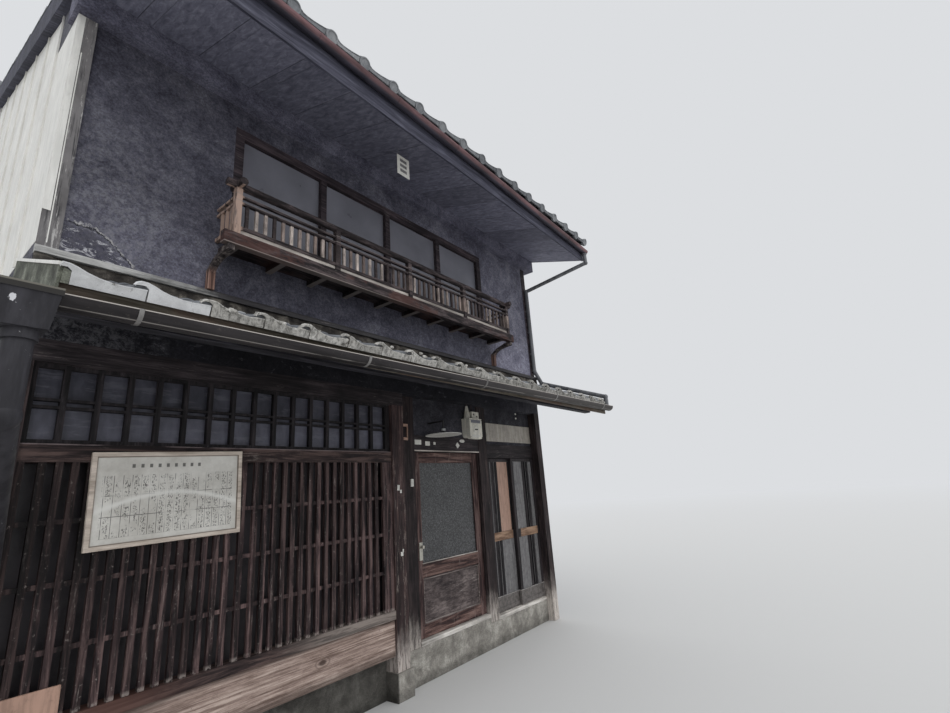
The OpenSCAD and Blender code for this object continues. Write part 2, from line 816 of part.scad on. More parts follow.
// Shallow round shade on a bent arm over the hinged door
module entry_lamp() {
    x = x_door0 + lamp_x;
    d = jamb_back - lamp_w / 2 - 5;
    z = door_head_z + 150;
    arm_z = z + 150;
    arm_r = 9;
    shade_h = 26;
    color("#c9c7c0") {
        bar([x, d, arm_z], [x, panel_back, arm_z], arm_r);
        translate([x, front_y + d, arm_z]) sphere(arm_r);
        bar([x, d, z + shade_h], [x, d, arm_z], arm_r);
        translate([x, front_y + d, z + shade_h]) cylinder(h = 42, r = 22);
        translate([x, front_y + d, z])
            rotate_extrude()
                polygon([[0, shade_h], [24, shade_h], [lamp_w / 2, 6], [lamp_w / 2, 0], [0, 14]]);
    }
}

// Pent roof boards with their fascia, eave beam and arms
module lower_roof() {
    beam_d0 = -pent_out + pent_beam_in;
    beam_w = 80;
    arm_w = 70;
    arm_h = 85;
    arms = 6;
    let_in = pent_deck_t / 2;
    color("#3a3537") {
        along_x(pent_x0, pent_x1, [
            [-pent_out, pent_z], [0, pent_under(0)],
            [0, pent_under(0) + pent_deck_t], [-pent_out, pent_z + pent_deck_t]
        ]);
        box(pent_x0, pent_x1, -pent_out - fascia_t, -pent_out, pent_z - pent_fascia_drop,
            pent_under(-pent_out - fascia_t) + pent_deck_t);
        along_x(x_left, x_right, [
            [beam_d0, pent_under(beam_d0) - arm_h], [beam_d0 + beam_w, pent_under(beam_d0) - arm_h],
            [beam_d0 + beam_w, pent_under(beam_d0 + beam_w) + let_in], [beam_d0, pent_under(beam_d0) + let_in]
        ]);
        for (i = [0 : arms - 1]) {
            x = x_left + i * (house_w - arm_w) / (arms - 1);
            along_x(x, x + arm_w, [
                [beam_d0, pent_under(beam_d0) - arm_h], [0, pent_under(0) - arm_h],
                [0, pent_under(0) + let_in], [beam_d0, pent_under(beam_d0) + let_in]
            ]);
        }
    }
}

module lower_roof_tiles() {
    d0 = -pent_out - pent_tile_drip;
    color("#8f9092")
        along_x(pent_x0, pent_x1, [
            [d0, pent_under(d0) + pent_deck_t + seat], [0, pent_under(0) + pent_deck_t + seat],
            [0, pent_under(0) + pent_top], [d0, pent_under(d0) + pent_top]
        ]);
}

module lower_gutter() {
    color("#5e5854")
        half_round_gutter(gutter_r, pent_x0, pent_x1, pent_gutter_d, pent_rim_z0, 6, pent_gutter_fall);
}

// Open box with a tapered body at the gutter's left end, and its pipe to the ground
module rain_hopper() {
    taper_in = 24;
    wall = 5;
    lip = 5;
    x1 = pent_x0;
    x0 = x1 - hopper_w;
    d0 = pent_gutter_d - hopper_d / 2;
    d1 = pent_gutter_d + hopper_d / 2;
    z1 = pent_rim_z0 + 4;
    z0 = z1 - hopper_h;
    xm = (x0 + x1) / 2;
    foot_z = z0 - hopper_taper;
    hole = taper_in + wall;
    collar_r = big_pipe_r + 10;
    pipe_x = x_left + end_post_l / 2;
    pipe_d = -big_pipe_r - pipe_elbow - 2;
    clip_half = big_pipe_r + 6;
    color("#56565a") {
        difference() {
            union() {
                box(x0, x1, d0, d1, z0, z1);
                intersection() {
                    along_x(x0 + lip, x1 - lip, [
                        [d0 + lip, z0], [d1 - lip, z0], [d1 - taper_in, foot_z], [d0 + taper_in, foot_z]
                    ]);
                    translate([0, front_y + d1, 0])
                        rotate([90, 0, 0])
                            linear_extrude(hopper_d)
                                polygon([
                                    [x0 + lip, z0], [x1 - lip, z0], [x1 - taper_in, foot_z], [x0 + taper_in, foot_z]
                                ]);
                }
            }
            box(x0 + hole, x1 - hole, d0 + hole, d1 - hole, foot_z + wall, z1 + 1);
        }
        bar([xm, pent_gutter_d, foot_z - hopper_collar], [xm, pent_gutter_d, foot_z], collar_r);
        pipe([
            [xm, pent_gutter_d, foot_z - hopper_collar], [xm, pent_gutter_d, foot_z - big_pipe_straight],
            [pipe_x, pipe_d, foot_z - big_pipe_straight - big_pipe_run], [pipe_x, pipe_d, big_pipe_foot]
        ], big_pipe_r);
        for (z = big_pipe_clips) {
            box(pipe_x - clip_half, pipe_x + clip_half, -big_pipe_clip_t, 0, z, z + big_pipe_clip_h);
        }
    }
}

// Weathered board over the joint of the pent roof and the upper wall
module foot_ledge() {
    color("#8d8b88")
        along_x(x_left, x_right, [
            [-ledge_t, ledge_z], [0, ledge_z], [0, ledge_top_z], [-ledge_t / 2, ledge_top_z],
            [-ledge_t, ledge_top_z - ledge_t / 2]
        ]);
}

module upper_front_wall() {
    x0 = upper_x - window_w / 2;
    color("#3c3c42")
        difference() {
            box(x_left, x_right, 0, wall_t, wall_z, plate_z);
            box(x0, x0 + window_w, -1, wall_t + 1, window_z, window_top);
        }
}

module corner_board() {
    color("#8f8f90") box(x_left, x_left + corner_board_w, -22, 0, ledge_top_z, plate_z);
}

// Clear width of a pane when mullions share a frame's opening evenly
function pane_w(w, jamb, mullion, panes) = (w - 2 * jamb - (panes - 1) * mullion) / panes;

// Window frame with a head, a sill, jambs and mullions, in a wall's thickness
module frame_in_wall(x0, w, z0, z1, d0, d1, jamb, head, sill, mullion, panes) {
    pw = pane_w(w, jamb, mullion, panes);
    box(x0, x0 + w, d0, d1, z1 - head, z1);
    box(x0, x0 + w, d0, d1, z0, z0 + sill);
    for (x = [x0, x0 + w - jamb]) box(x, x + jamb, d0, d1, z0, z1);
    for (i = [1 : panes - 1]) {
        x = x0 + jamb + i * pw + (i - 1) * mullion;
        box(x, x + mullion, d0, d0 + (d1 - d0) * 0.4, z0, z1);
    }
}
window_sill = 50;
window_x0 = upper_x - window_w / 2;

module window_frame() {
    color("#2d2a2c")
        frame_in_wall(window_x0, window_w, window_z, window_top, 0, wall_t - 15,
            window_jamb, window_head, window_sill, window_mullion, window_panes);
}

module window_glass() {
    d0 = (wall_t - 15) * 0.4;
    color("#8b8f92")
        box(window_x0 + window_jamb, window_x0 + window_w - window_jamb, d0, d0 + glass_t,
            window_z + window_sill, window_top - window_head);
}

// Ends of the balcony, and the places of its railing posts
rail_x0 = upper_x - balcony_w / 2;
rail_x1 = upper_x + balcony_w / 2;
bay_step = balcony_w / balcony_bays;

// Beam under the railing, floor boards and the joists that carry them
module balcony_floor() {
    floor_in = 15;
    beam_end = 90;
    joist_w = 45;
    joist_h = 50;
    joists = 10;
    board_z = balcony_top_z - balcony_floor_t;
    half = balcony_beam_d / 2;
    color("#6a4f47") {
        box(rail_x0 - beam_end, rail_x1 + beam_end, -balcony_out - half, -balcony_out + half,
            balcony_z, balcony_top_z);
        box(rail_x0 + floor_in, rail_x1 - floor_in, -balcony_out + half, 0, board_z, balcony_top_z);
        for (i = [0 : joists - 1]) {
            x = rail_x0 + floor_in + i * (balcony_w - 2 * floor_in - joist_w) / (joists - 1);
            box(x, x + joist_w, -balcony_out + half, 0, board_z - joist_h, board_z);
        }
    }
}

// Rails and balusters of one run of railing, drawn along X from the origin
module rail_run(length) {
    rail_t = 26;
    rails = [[42, 30], [handrail_h - 148, 20], [handrail_h - 93, 18]];
    n = max(1, round(length / baluster_pitch) - 1);
    step = length / (n + 1);
    for (r = rails) translate([0, -rail_t / 2, r[0]]) cube([length, rail_t, r[1]]);
    for (i = [1 : n])
        translate([i * step - baluster_w / 2, -9, 42]) cube([baluster_w, 18, handrail_h - 148 - 42 + 5]);
}

// Railing along the front with a return to the wall at each end, and crossed rail ends
module balcony_railing() {
    half = rail_post_w / 2;
    cross_in = 70;
    color("#6d5a54") {
        for (i = [0 : balcony_bays]) {
            x = rail_x0 + i * bay_step;
            box(x - half, x + half, -balcony_out - half, -balcony_out + half, balcony_top_z, handrail_z);
        }
        for (i = [0 : balcony_bays - 1])
            translate([rail_x0 + i * bay_step, front_y - balcony_out, balcony_top_z]) rail_run(bay_step);
        for (x = [rail_x0, rail_x1])
            translate([x, front_y - balcony_out, balcony_top_z]) rotate([0, 0, 90]) rail_run(balcony_out);
        bar([rail_x0 - handrail_end, -balcony_out, handrail_z], [rail_x1 + handrail_end, -balcony_out, handrail_z],
            handrail_r);
        for (x = [rail_x0, rail_x1])
            bar([x, -balcony_out - handrail_end, handrail_z], [x, -balcony_out + cross_in, handrail_z], handrail_r);
    }
}

// Wall struts on the foot ledge with curved arms that carry the balcony's beam
module balcony_brackets() {
    strut_d = 45;
    arm_t = 46;
    foot_drop = 24;
    beam_gap = 8;
    steps = 8;
    head_z = ledge_top_z + bracket_strut_h;
    reach = balcony_out + balcony_beam_d / 2 - 12;
    rise = balcony_z - head_z;
    // A quarter round in depth and height, from the strut's head out to the beam
    function arc(out, up) = [for (i = [0 : steps])
        [-strut_d - out * (1 - cos(90 * i / steps)), head_z - foot_drop + up * sin(90 * i / steps)]];
    under = arc(reach - strut_d, rise + foot_drop - arm_t);
    color("#7c5a50")
        for (x = [rail_x0 - beam_gap - bracket_w, rail_x1 + beam_gap]) {
            box(x, x + bracket_w, -strut_d, 0, ledge_top_z, head_z);
            along_x(x, x + bracket_w, concat(under, [
                [-reach, balcony_z], [-reach + 60, balcony_z],
                [-strut_d - 40, head_z + 0.55 * rise], [0, head_z], [0, head_z - foot_drop]
            ]));
        }
}

// Outline of a wall plate: level foot, top cut to the roof's slope
plate_outline = [
    [-plate_out, plate_z], [wall_t, plate_z],
    [wall_t, roof_under(wall_t) - seat], [-plate_out, roof_under(-plate_out) - seat]
];

// Turns an outline round to the back of the house
function turned(points) = [for (i = [len(points) - 1 : -1 : 0]) [house_d - points[i][0], points[i][1]]];

// Wall plates at the front and back, and the ridge beam between the party walls
module wall_plates() {
    ridge_beam_w = 160;
    ridge_beam_h = 200;
    half = ridge_beam_w / 2;
    color("#33302f") {
        along_x(x_left - plate_left, x_right + plate_right, plate_outline);
        along_x(x_left - plate_left, x_right + plate_right, turned(plate_outline));
        along_x(x_left + party_t, x_right - party_t, [
            [ridge_d - half, roof_under(ridge_d) - ridge_beam_h], [ridge_d + half, roof_under(ridge_d) - ridge_beam_h],
            [ridge_d + half, roof_under(ridge_d - half) - seat], [ridge_d, roof_under(ridge_d) - seat],
            [ridge_d - half, roof_under(ridge_d - half) - seat]
        ]);
    }
}

// A layer that follows both slopes from eave to eave
module roof_layer(x0, x1, out, z0, z1) {
    lower = [[-out, roof_under(-out) + z0], [ridge_d, roof_under(ridge_d) + z0]];
    upper = [[ridge_d, roof_under(ridge_d) + z1], [-out, roof_under(-out) + z1]];
    along_x(x0, x1, concat(lower, [turned(lower)[1]], [turned(upper)[0]], upper));
}

// Roof boards, fascia boards at the eaves and verge boards at the gables
module roof_deck() {
    verge_t = 24;
    verge_drop = 4;
    z0 = roof_under(-eave_out) - fascia_drop;
    z1 = roof_under(-eave_out - fascia_t) + deck_t;
    color("#2f2c30") {
        roof_layer(roof_x0, roof_x1, eave_out, 0, deck_t);
        box(roof_x0, roof_x1, -eave_out - fascia_t, -eave_out, z0, z1);
        back_box(roof_x0, roof_x1, -eave_out - fascia_t, -eave_out, z0, z1);
        for (x = [roof_x0, roof_x1 - verge_t]) roof_layer(x, x + verge_t, eave_out, -verge_drop, deck_t);
    }
}

module roof_tiles() {
    color("#7f8286") roof_layer(roof_x0, roof_x1, eave_out + tile_drip, deck_t + seat, deck_t + tile_t);
}

// Flat courses, a round cap and an end tile at each gable
module roof_ridge() {
    cap_r = 78;
    step_in = 12;
    end_t = 45;
    end_r = 165;
    half = ridge_w / 2;
    top = deck_t + tile_t + seat;
    z0 = roof_under(ridge_d) + top;
    color("#75787c") {
        along_x(roof_x0, roof_x1, [
            [ridge_d - half, roof_under(ridge_d - half) + top], [ridge_d, z0],
            [ridge_d + half, roof_under(ridge_d - half) + top],
            [ridge_d + half, z0 + ridge_course_h], [ridge_d - half, z0 + ridge_course_h]
        ]);
        for (i = [1 : ridge_courses - 1])
            box(roof_x0, roof_x1, ridge_d - half + i * step_in, ridge_d + half - i * step_in,
                z0 + i * ridge_course_h, z0 + (i + 1) * ridge_course_h);
        bar([roof_x0, ridge_d, z0 + ridge_courses * ridge_course_h],
            [roof_x1, ridge_d, z0 + ridge_courses * ridge_course_h], cap_r);
        for (x = [roof_x0, roof_x1 - end_t])
            translate([x, front_y + ridge_d, z0])
                rotate([90, 0, 90])
                    linear_extrude(end_t)
                        difference() {
                            union() {
                                translate([0, ridge_courses * ridge_course_h - 20]) circle(end_r - 30);
                                polygon([[-end_r, -end_r * roof_pitch], [0, 0], [end_r, -end_r * roof_pitch],
                                    [end_r - 20, ridge_courses * ridge_course_h - 30],
                                    [20 - end_r, ridge_courses * ridge_course_h - 30]]);
                            }
                            polygon([[-2 * end_r, -2 * end_r * roof_pitch], [0, 0],
                                [2 * end_r, -2 * end_r * roof_pitch], [0, -3 * end_r]]);
                        }
    }
}

// Half-round gutters along both eaves of the main roof
module eave_gutters() {
    color("#6a4a40") {
        half_round_gutter(eave_gutter_r, roof_x0, roof_x1, eave_gutter_d, eave_rim_z, 7, -eave_gutter_fall);
        half_round_gutter(eave_gutter_r, roof_x0, roof_x1, house_d - eave_gutter_d, eave_rim_z, 7);
    }
}

// Pipe from the upper gutter to the wall, down it, and over the pent roof
module upper_downpipe() {
    x_top = roof_x1 - pipe_r - 14;
    flange_r = pipe_r + 8;
    lean = asin(eave_gutter_fall / (roof_x1 - roof_x0));
    x = x_right - pipe_r - 8;
    d = -pipe_r - 8;
    z_top = eave_rim_z - (x_top + flange_r - roof_x0) * tan(lean) - eave_gutter_r / cos(lean) - 0.05;
    z_out = roof_under(-eave_out) - fascia_drop - pipe_r - pipe_elbow - 30;
    elbow_drop = 210;
    above = pipe_r + 12;
    d_roof = -ledge_t - pipe_r - 60;
    z_roof = pent_under(d_roof) + pent_top + above;
    d_end = -pent_out - pent_tile_drip - pipe_r - 7;
    z_end = pent_under(d_end) + pent_top + above;
    clip_t = 22;
    clips = 3;
    color("#7d7f80") {
        pipe([
            [x_top, eave_gutter_d, z_top], [x_top, eave_gutter_d, z_out], [x, d, z_out - elbow_drop],
            [x, d, ledge_top_z + 80], [x, d_roof, z_roof], [x, d_end, z_end], [x, d_end, pent_rim_z1 - 10]
        ], pipe_r);
        for (i = [1 : clips]) {
            z = ledge_top_z + i * (z_out - elbow_drop - ledge_top_z) / (clips + 1);
            box(x - pipe_r - 6, x + pipe_r + 6, d, 0, z, z + clip_t);
        }
        translate([x_top, front_y + eave_gutter_d, z_top - 12]) cylinder(h = 12, r = flange_r);
    }
}

// Openings of the back wall as [x0, width, foot, head]
back_door = [x_left + back_door_x, back_door_w, floor_t, back_head_z];
back_window = [x_left + back_window_x, back_window_w, back_window_z, back_head_z];
back_upper = [-back_upper_w / 2, back_upper_w, back_upper_z, window_top];

module back_wall() {
    color("#4c4b4e")
        difference() {
            back_box(x_left, x_right, 0, wall_t, 0, plate_z);
            for (o = [back_door, back_window, back_upper])
                back_box(o[0], o[0] + o[1], -1, wall_t + 1, o[2], o[3]);
        }
}

// Frame in the back wall: the front's frame, turned round
module back_frame(o, panes) {
    mirror([0, 1, 0])
        frame_in_wall(o[0], o[1], o[2], o[3], 0, wall_t - 15, 60, 60, 50, 50, panes);
}

module back_joinery() {
    color("#3a3230") {
        back_frame(back_window, 2);
        back_frame(back_upper, window_panes);
        back_box(back_door[0], back_door[0] + back_door[1], 40, 78, back_door[2], back_door[3]);
        for (z = [back_door[2] + 150, (back_door[2] + back_door[3]) / 2, back_door[3] - 230])
            back_box(back_door[0] + 40, back_door[0] + back_door[1] - 40, 22, 40, z, z + 80);
    }
}

module back_glass() {
    d0 = (wall_t - 15) * 0.4;
    color("#8b8f92")
        for (o = [back_window, back_upper])
            back_box(o[0] + 60, o[0] + o[1] - 60, d0, d0 + glass_t, o[2] + 50, o[3] - 60);
}

ground_floor();
upper_floor();
left_party_wall();
right_party_wall();
base_stones();
main_post();
front_posts();
front_beam();
lattice_rails();
front_lattice();
transom_lattice();
front_glazing();
skirt_board();
notice_board();
door_lintels();
over_door_wall();
transom_panel();
door_sills();
hinged_door();
hinged_door_glass();
hinged_door_fittings();
door_hinges();
sliding_door_left();
sliding_panes_left();
sliding_door_right();
sliding_panes_right();
electric_meter();
entry_lamp();
lower_roof();
lower_roof_tiles();
lower_gutter();
rain_hopper();
foot_ledge();
upper_front_wall();
corner_board();
window_frame();
window_glass();
balcony_floor();
balcony_railing();
balcony_brackets();
wall_plates();
roof_deck();
roof_tiles();
roof_ridge();
eave_gutters();
upper_downpipe();
back_wall();
back_joinery();
back_glass();
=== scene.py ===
"""Looks of the townhouse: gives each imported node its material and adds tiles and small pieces.

Lengths are metres. X runs along the front, Y from the street to the back, Z up.
Depths count inward from the front face of the walls.
"""
import math
import random

import bmesh
import bpy
from mathutils import Matrix, Vector


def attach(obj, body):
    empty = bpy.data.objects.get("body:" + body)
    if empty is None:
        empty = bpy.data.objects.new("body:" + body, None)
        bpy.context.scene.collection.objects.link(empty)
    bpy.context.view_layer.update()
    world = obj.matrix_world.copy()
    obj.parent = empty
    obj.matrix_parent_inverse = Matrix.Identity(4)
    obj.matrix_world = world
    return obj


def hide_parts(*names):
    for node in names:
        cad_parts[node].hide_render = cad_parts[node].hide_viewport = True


BACKGROUND = 0xdcdee1
FRONT = -3.94
HALF_W = 2.785
BACK = 7.88

# Main roof, as in the part's source
ROOF_PITCH = 0.325
EAVE_OUT = 0.905
TILE_DRIP = 0.095
DECK_T = 0.245
TILE_T = 0.08
ROOF_X0, ROOF_X1 = -2.841, 2.965
RIDGE_D = BACK / 2
EAVE_GUTTER_D, EAVE_GUTTER_R = -0.969, 0.046
EAVE_RIM_Z0, EAVE_RIM_Z1 = 5.0203, 4.9253

# Pent roof
PENT_PITCH = 0.38
PENT_OUT = 0.965
PENT_Z = 2.573
PENT_DECK_T = 0.05
PENT_TILE_T = 0.09
PENT_TILE_DRIP = 0.05
PENT_X = 2.835
PENT_GUTTER_D, PENT_GUTTER_R = -1.041, 0.058
PENT_RIM_Z0, PENT_RIM_Z1 = 2.532, 2.600
LEDGE_Z = 3.1397

# Paint mark on the rain hopper
MARK_X, MARK_Z = -2.980, 2.464

# Tiles: thickness and the steps across their wave
S_TILE_T = 0.016
WAVE_STEPS = [i / 10 for i in range(11)]

# Air between a small plate and the face that it sits on
GAP = 0.0002

# Notice board: lower left corner, tilt and the ruled sheet's columns
BOARD_X, BOARD_Z = -2.36, 1.478
BOARD_TURN = math.radians(1.4)
COLUMN_W = 0.047


def roof_under(d):
    """Underside of the main roof's boards at a depth."""
    return 5.075 + (0.09 + d) * ROOF_PITCH


def pent_under(d):
    """Underside of the pent roof's boards at a depth."""
    return PENT_Z + (PENT_OUT + d) * PENT_PITCH


def point(x, d, z):
    """A place given by its depth."""
    return Vector((x, FRONT + d, z))


def circle(count):
    """Angles of equal steps round a circle."""
    return [2 * math.pi * k / count for k in range(count)]


def arch(count):
    """Angles of equal steps over a half circle, with both ends."""
    return [math.pi * k / count for k in range(count + 1)]


def srgb(code):
    """A colour given as the six digits it shows on a screen."""
    out = []
    for shift in (16, 8, 0):
        c = ((code >> shift) & 255) / 255
        out.append(c / 12.92 if c <= 0.04045 else ((c + 0.055) / 1.055) ** 2.4)
    return tuple(out)


# Materials


class Value:
    """A number in a material's nodes that can be added, multiplied and so on."""

    def __init__(self, shade, socket):
        self.shade, self.socket = shade, socket

    def __add__(self, other):
        return self.shade.calc("ADD", self, other)

    def __sub__(self, other):
        return self.shade.calc("SUBTRACT", self, other)

    def __mul__(self, other):
        return self.shade.calc("MULTIPLY", self, other)

    def __truediv__(self, other):
        return self.shade.calc("DIVIDE", self, other)

    def __abs__(self):
        return self.shade.calc("ABSOLUTE", self)


class Tree:
    """Nodes of a material or of the world, made by short calls."""

    def __init__(self, owner):
        owner.use_nodes = True
        self.tree = owner.node_tree

    def node(self, kind, settings=None, **inputs):
        made = self.tree.nodes.new(kind)
        for key, value in (settings or {}).items():
            setattr(made, key, value)
        for key, value in inputs.items():
            self.feed(made.inputs[key.replace("_", " ")], value)
        return made

    def feed(self, socket, value):
        value = getattr(value, "socket", value)
        if isinstance(value, bpy.types.NodeSocket):
            self.tree.links.new(value, socket)
        elif socket.type == "RGBA":
            socket.default_value = (*value, 1) if len(value) == 3 else value
        else:
            socket.default_value = value

    def calc(self, operation, a, b=0.0, clamp=False):
        made = self.node("ShaderNodeMath", {"operation": operation, "use_clamp": clamp})
        self.feed(made.inputs[0], a)
        self.feed(made.inputs[1], b)
        return Value(self, made.outputs[0])

    def surface(self, factor, one, other, end):
        """Leads a mix of two shaders to the tree's end node."""
        made = self.node("ShaderNodeMixShader")
        for socket, value in zip(made.inputs, (factor, one, other)):
            self.feed(socket, value)
        self.feed(self.tree.nodes[end].inputs["Surface"], made.outputs[0])


class Shade(Tree):
    """A material. Places are object coordinates, metres at rest."""

    def __init__(self, name):
        self.mat = bpy.data.materials.new(name)
        super().__init__(self.mat)
        self.out = self.tree.nodes["Principled BSDF"]
        self.place = self.node("ShaderNodeTexCoord").outputs["Object"]
        self.x, self.y, self.z = self.split(self.place)
        self.colour = None

    def split(self, vector):
        parts = self.node("ShaderNodeSeparateXYZ", Vector=vector).outputs
        return [Value(self, part) for part in parts]

    def route(self, value, *points):
        """Height of a broken line through points at a coordinate."""
        height = points[0][1]
        for (xa, za), (xb, zb) in zip(points, points[1:]):
            part = self.node("ShaderNodeMapRange", {"clamp": True})
            for socket, number in zip(part.inputs, (value, xa, xb, 0.0, zb - za)):
                self.feed(socket, number)
            height = self.calc("ADD", height, part.outputs[0])
        return height

    def fract(self, value):
        return self.calc("FRACT", value)

    def band(self, value, low, high, out_low=0.0, out_high=1.0):
        """Smooth step of a value between two limits."""
        made = self.node("ShaderNodeMapRange", {"interpolation_type": "SMOOTHSTEP", "clamp": True})
        for socket, number in zip(made.inputs, (value, low, high, out_low, out_high)):
            self.feed(socket, number)
        return Value(self, made.outputs[0])

    def inside(self, value, low, high, soft=0.002):
        """1 where the value lies between two limits."""
        up = self.band(value, low - soft, low + soft)
        return up * self.band(value, high - soft, high + soft, 1.0, 0.0)

    def stretch(self, sx, sy, sz):
        made = self.node("ShaderNodeVectorMath", {"operation": "MULTIPLY"})
        self.feed(made.inputs[0], self.place)
        made.inputs[1].default_value = (sx, sy, sz)
        return made.outputs[0]

    def distance(self, scales, *centre):
        """Distance to a point, with each axis drawn out by its scale."""
        made = self.node("ShaderNodeVectorMath", {"operation": "DISTANCE"})
        self.feed(made.inputs[0], self.stretch(*scales))
        made.inputs[1].default_value = [scale * place for scale, place in zip(scales, centre)]
        return Value(self, made.outputs["Value"])

    def noise(self, scale, detail=4.0, rough=0.55, along=None, ratio=12.0, warp=0.0):
        """Cloudy noise, drawn out along one axis where asked."""
        factors = [1 / ratio if axis == along else 1.0 for axis in "XYZ"]
        vector = self.stretch(*factors) if along else self.place
        made = self.node("ShaderNodeTexNoise", Vector=vector, Scale=scale, Detail=detail,
                         Roughness=rough, Distortion=warp)
        return Value(self, made.outputs["Fac"])

    def cell_tone(self, value, pitch, start=0.0):
        """A random number for each step of a coordinate."""
        step = self.calc("FLOOR", (value - start) / pitch)
        noise = self.node("ShaderNodeTexWhiteNoise", {"noise_dimensions": "1D"}, W=step)
        return Value(self, noise.outputs["Value"])

    def tone(self):
        """The tone that a detail piece's mesh gives each of its solids."""
        made = self.node("ShaderNodeAttribute", {"attribute_name": "tone"})
        return Value(self, made.outputs["Fac"])

    def ramp(self, value, *stops):
        made = self.node("ShaderNodeValToRGB", Fac=value)
        points = made.color_ramp.elements
        for place, _ in stops[2:]:
            points.new(place)
        for point, (place, colour) in zip(points, stops):
            point.position = place
            point.color = (*srgb(colour), 1)
        return made.outputs["Color"]

    def mix(self, factor, a, b, kind="MIX"):
        made = self.node("ShaderNodeMix", {"data_type": "RGBA", "blend_type": kind})
        self.feed(made.inputs[0], factor)
        self.feed(made.inputs[6], srgb(a) if isinstance(a, int) else a)
        self.feed(made.inputs[7], srgb(b) if isinstance(b, int) else b)
        return made.outputs[2]

    def shift(self, colour, value, low, high):
        """Darkens or lightens a colour by a value from 0 to 1."""
        level = self.band(value, 0.0, 1.0, low, high)
        grey = self.node("ShaderNodeCombineColor", Red=level, Green=level, Blue=level).outputs[0]
        return self.mix(1.0, colour, grey, "MULTIPLY")

    def over(self, mask, colour):
        """Lays another colour over the material's own where the mask is 1."""
        self.colour = self.mix(mask, self.colour, colour)

    def tint(self, value, low, high):
        """Darkens or lightens the material's own colour."""
        self.colour = self.shift(self.colour, value, low, high)

    def finish(self, rough=(0.6, 0.8), rough_by=None, bumps=(), **sockets):
        """Links the colour, roughness and bumps; each bump is a value and its depth in metres."""
        self.feed(self.out.inputs["Base Color"], self.colour)
        if rough_by is None:
            rough_by = self.noise(9.0)
        self.feed(self.out.inputs["Roughness"], self.band(rough_by, 0.25, 0.75, *rough))
        normal = None
        for height, depth in bumps:
            made = self.node("ShaderNodeBump", Height=height, Distance=depth, Strength=1.0)
            if normal is not None:
                self.feed(made.inputs["Normal"], normal)
            normal = made.outputs[0]
        if normal is not None:
            self.feed(self.out.inputs["Normal"], normal)
        sockets.setdefault("Specular_IOR_Level", 0.2)
        for key, value in sockets.items():
            self.feed(self.out.inputs[key.replace("_", " ")], value)
        return self.mat


def grain(shade, axis):
    """Streaks and fine lines of weathered wood along an axis."""
    broad = shade.noise(30.0, 6.0, 0.7, axis, 14.0, 0.6)
    fine = shade.noise(110.0, 4.0, 0.7, axis, 24.0)
    return broad, fine


def grained(name, axis, dark, mid, light):
    """A shade whose colour follows its grain, with the grain's streaks and fine lines."""
    s = Shade(name)
    broad, fine = grain(s, axis)
    s.colour = s.ramp(broad, (0.4, dark), (0.5, mid), (0.6, light))
    return s, broad, fine


def scratches(s, axis, amount, share):
    """Where scratches and rubbed lines along an axis lie, in patches."""
    line = s.noise(58.0, 5.0, 0.8, axis, 13.0, 0.4)
    patch = s.noise(7.0, 6.0, 0.75, axis, 2.5)
    return s.band(line, 0.56, 0.63) * s.band(patch, 0.5 - share, 0.62 - share) * amount


def wood(name, axis, dark, mid, light, foot=None, worn=None, gloss=(0.6, 0.82), lift=0.0, far=None,
         rubbed=(0x8d8480, 0.4, 0.0)):
    """Stained wood. foot is the height and colour of a faded foot, worn a colour and share of bare
    patches, far a range across the front and the colour past it, rubbed the scratches."""
    s = Shade(name)
    broad, fine = grain(s, axis)
    streaks = broad * 0.65 + fine * (0.35 + lift)
    s.colour = s.ramp(streaks, (0.4, dark), (0.5, mid), (0.61, light))
    s.tint(s.band(s.noise(2.2, 5.0, 0.6), 0.3, 0.7), 0.7, 1.3)
    if far:
        low, high, code = far
        reach = s.x + s.noise(6.0, 5.0, 0.7) * 0.9
        s.over(s.band(reach, low + 0.45, high + 0.45, 0.0, 0.92), code)
    if worn:
        bare, share = worn
        patch = s.noise(5.0, 6.0, 0.7, axis, 5.0, 0.4)
        s.over(s.band(patch, 0.72 - share, 0.8 - share * 0.6), bare)
    s.over(scratches(s, axis, *rubbed[1:]), rubbed[0])
    if foot:
        low, high, bare = foot
        rise = s.z + s.noise(16.0, 6.0, 0.75, axis, 4.0) * -0.6
        flaked = s.band(s.noise(34.0, 6.0, 0.8, axis, 9.0, 0.4), 0.44, 0.5, 0.3, 1.0)
        s.over(s.band(rise, low - 0.3, high - 0.3, 0.9, 0.0) * flaked, bare)
    return s.finish(gloss, broad, ((broad, 0.0016), (fine, 0.0008)))


def plaster(name, dark, mid, light, low_z=3.2, high_z=3.9, levels=(0.86, 1.3), scuffs=False,
            bands=False, shade_z=0.0, across=(1.0, 1.0)):
    """Charcoal plaster: mottled and grainy, paler towards its foot, with painted shade below shade_z
    and under the balcony; across is its tone at the left and right end."""
    s = Shade(name)
    cloud = s.noise(1.9, 9.0, 0.74, warp=0.9)
    patch = s.noise(21.0, 8.0, 0.85, warp=0.3)
    grit = s.noise(75.0, 5.0, 0.8)
    blend = cloud * 0.55 + patch * 0.45
    s.colour = s.ramp(blend, (0.4, dark), (0.5, mid), (0.61, light))
    s.tint(s.band(s.z, low_z, high_z, 1.0, 0.0), *levels)
    s.tint(s.band(grit, 0.36, 0.64), 0.72, 1.28)
    s.tint(s.band(s.x, -2.4, 2.4), *across)
    relief = [(blend, 0.008), (grit, 0.003)]
    if bands:
        s.tint(s.band(s.noise(3.2, 5.0, 0.6, "X", 9.0), 0.3, 0.7), 0.82, 1.18)
    if shade_z:
        # painted shade below shade_z, on the wall under the pent roof
        s.tint(s.band(s.z, shade_z - 0.12, shade_z), 0.16, 1.0)
        # painted shade under the balcony
        balcony_shade = s.inside(s.x, -1.8, 1.75, 0.12) * s.band(s.z, 3.62, 3.42)
        s.tint(balcony_shade, 1.0, 0.62)
    if scuffs:
        relief.append((scuffed(s, patch), -0.002))
    return s.finish((0.7, 0.9), patch, relief)


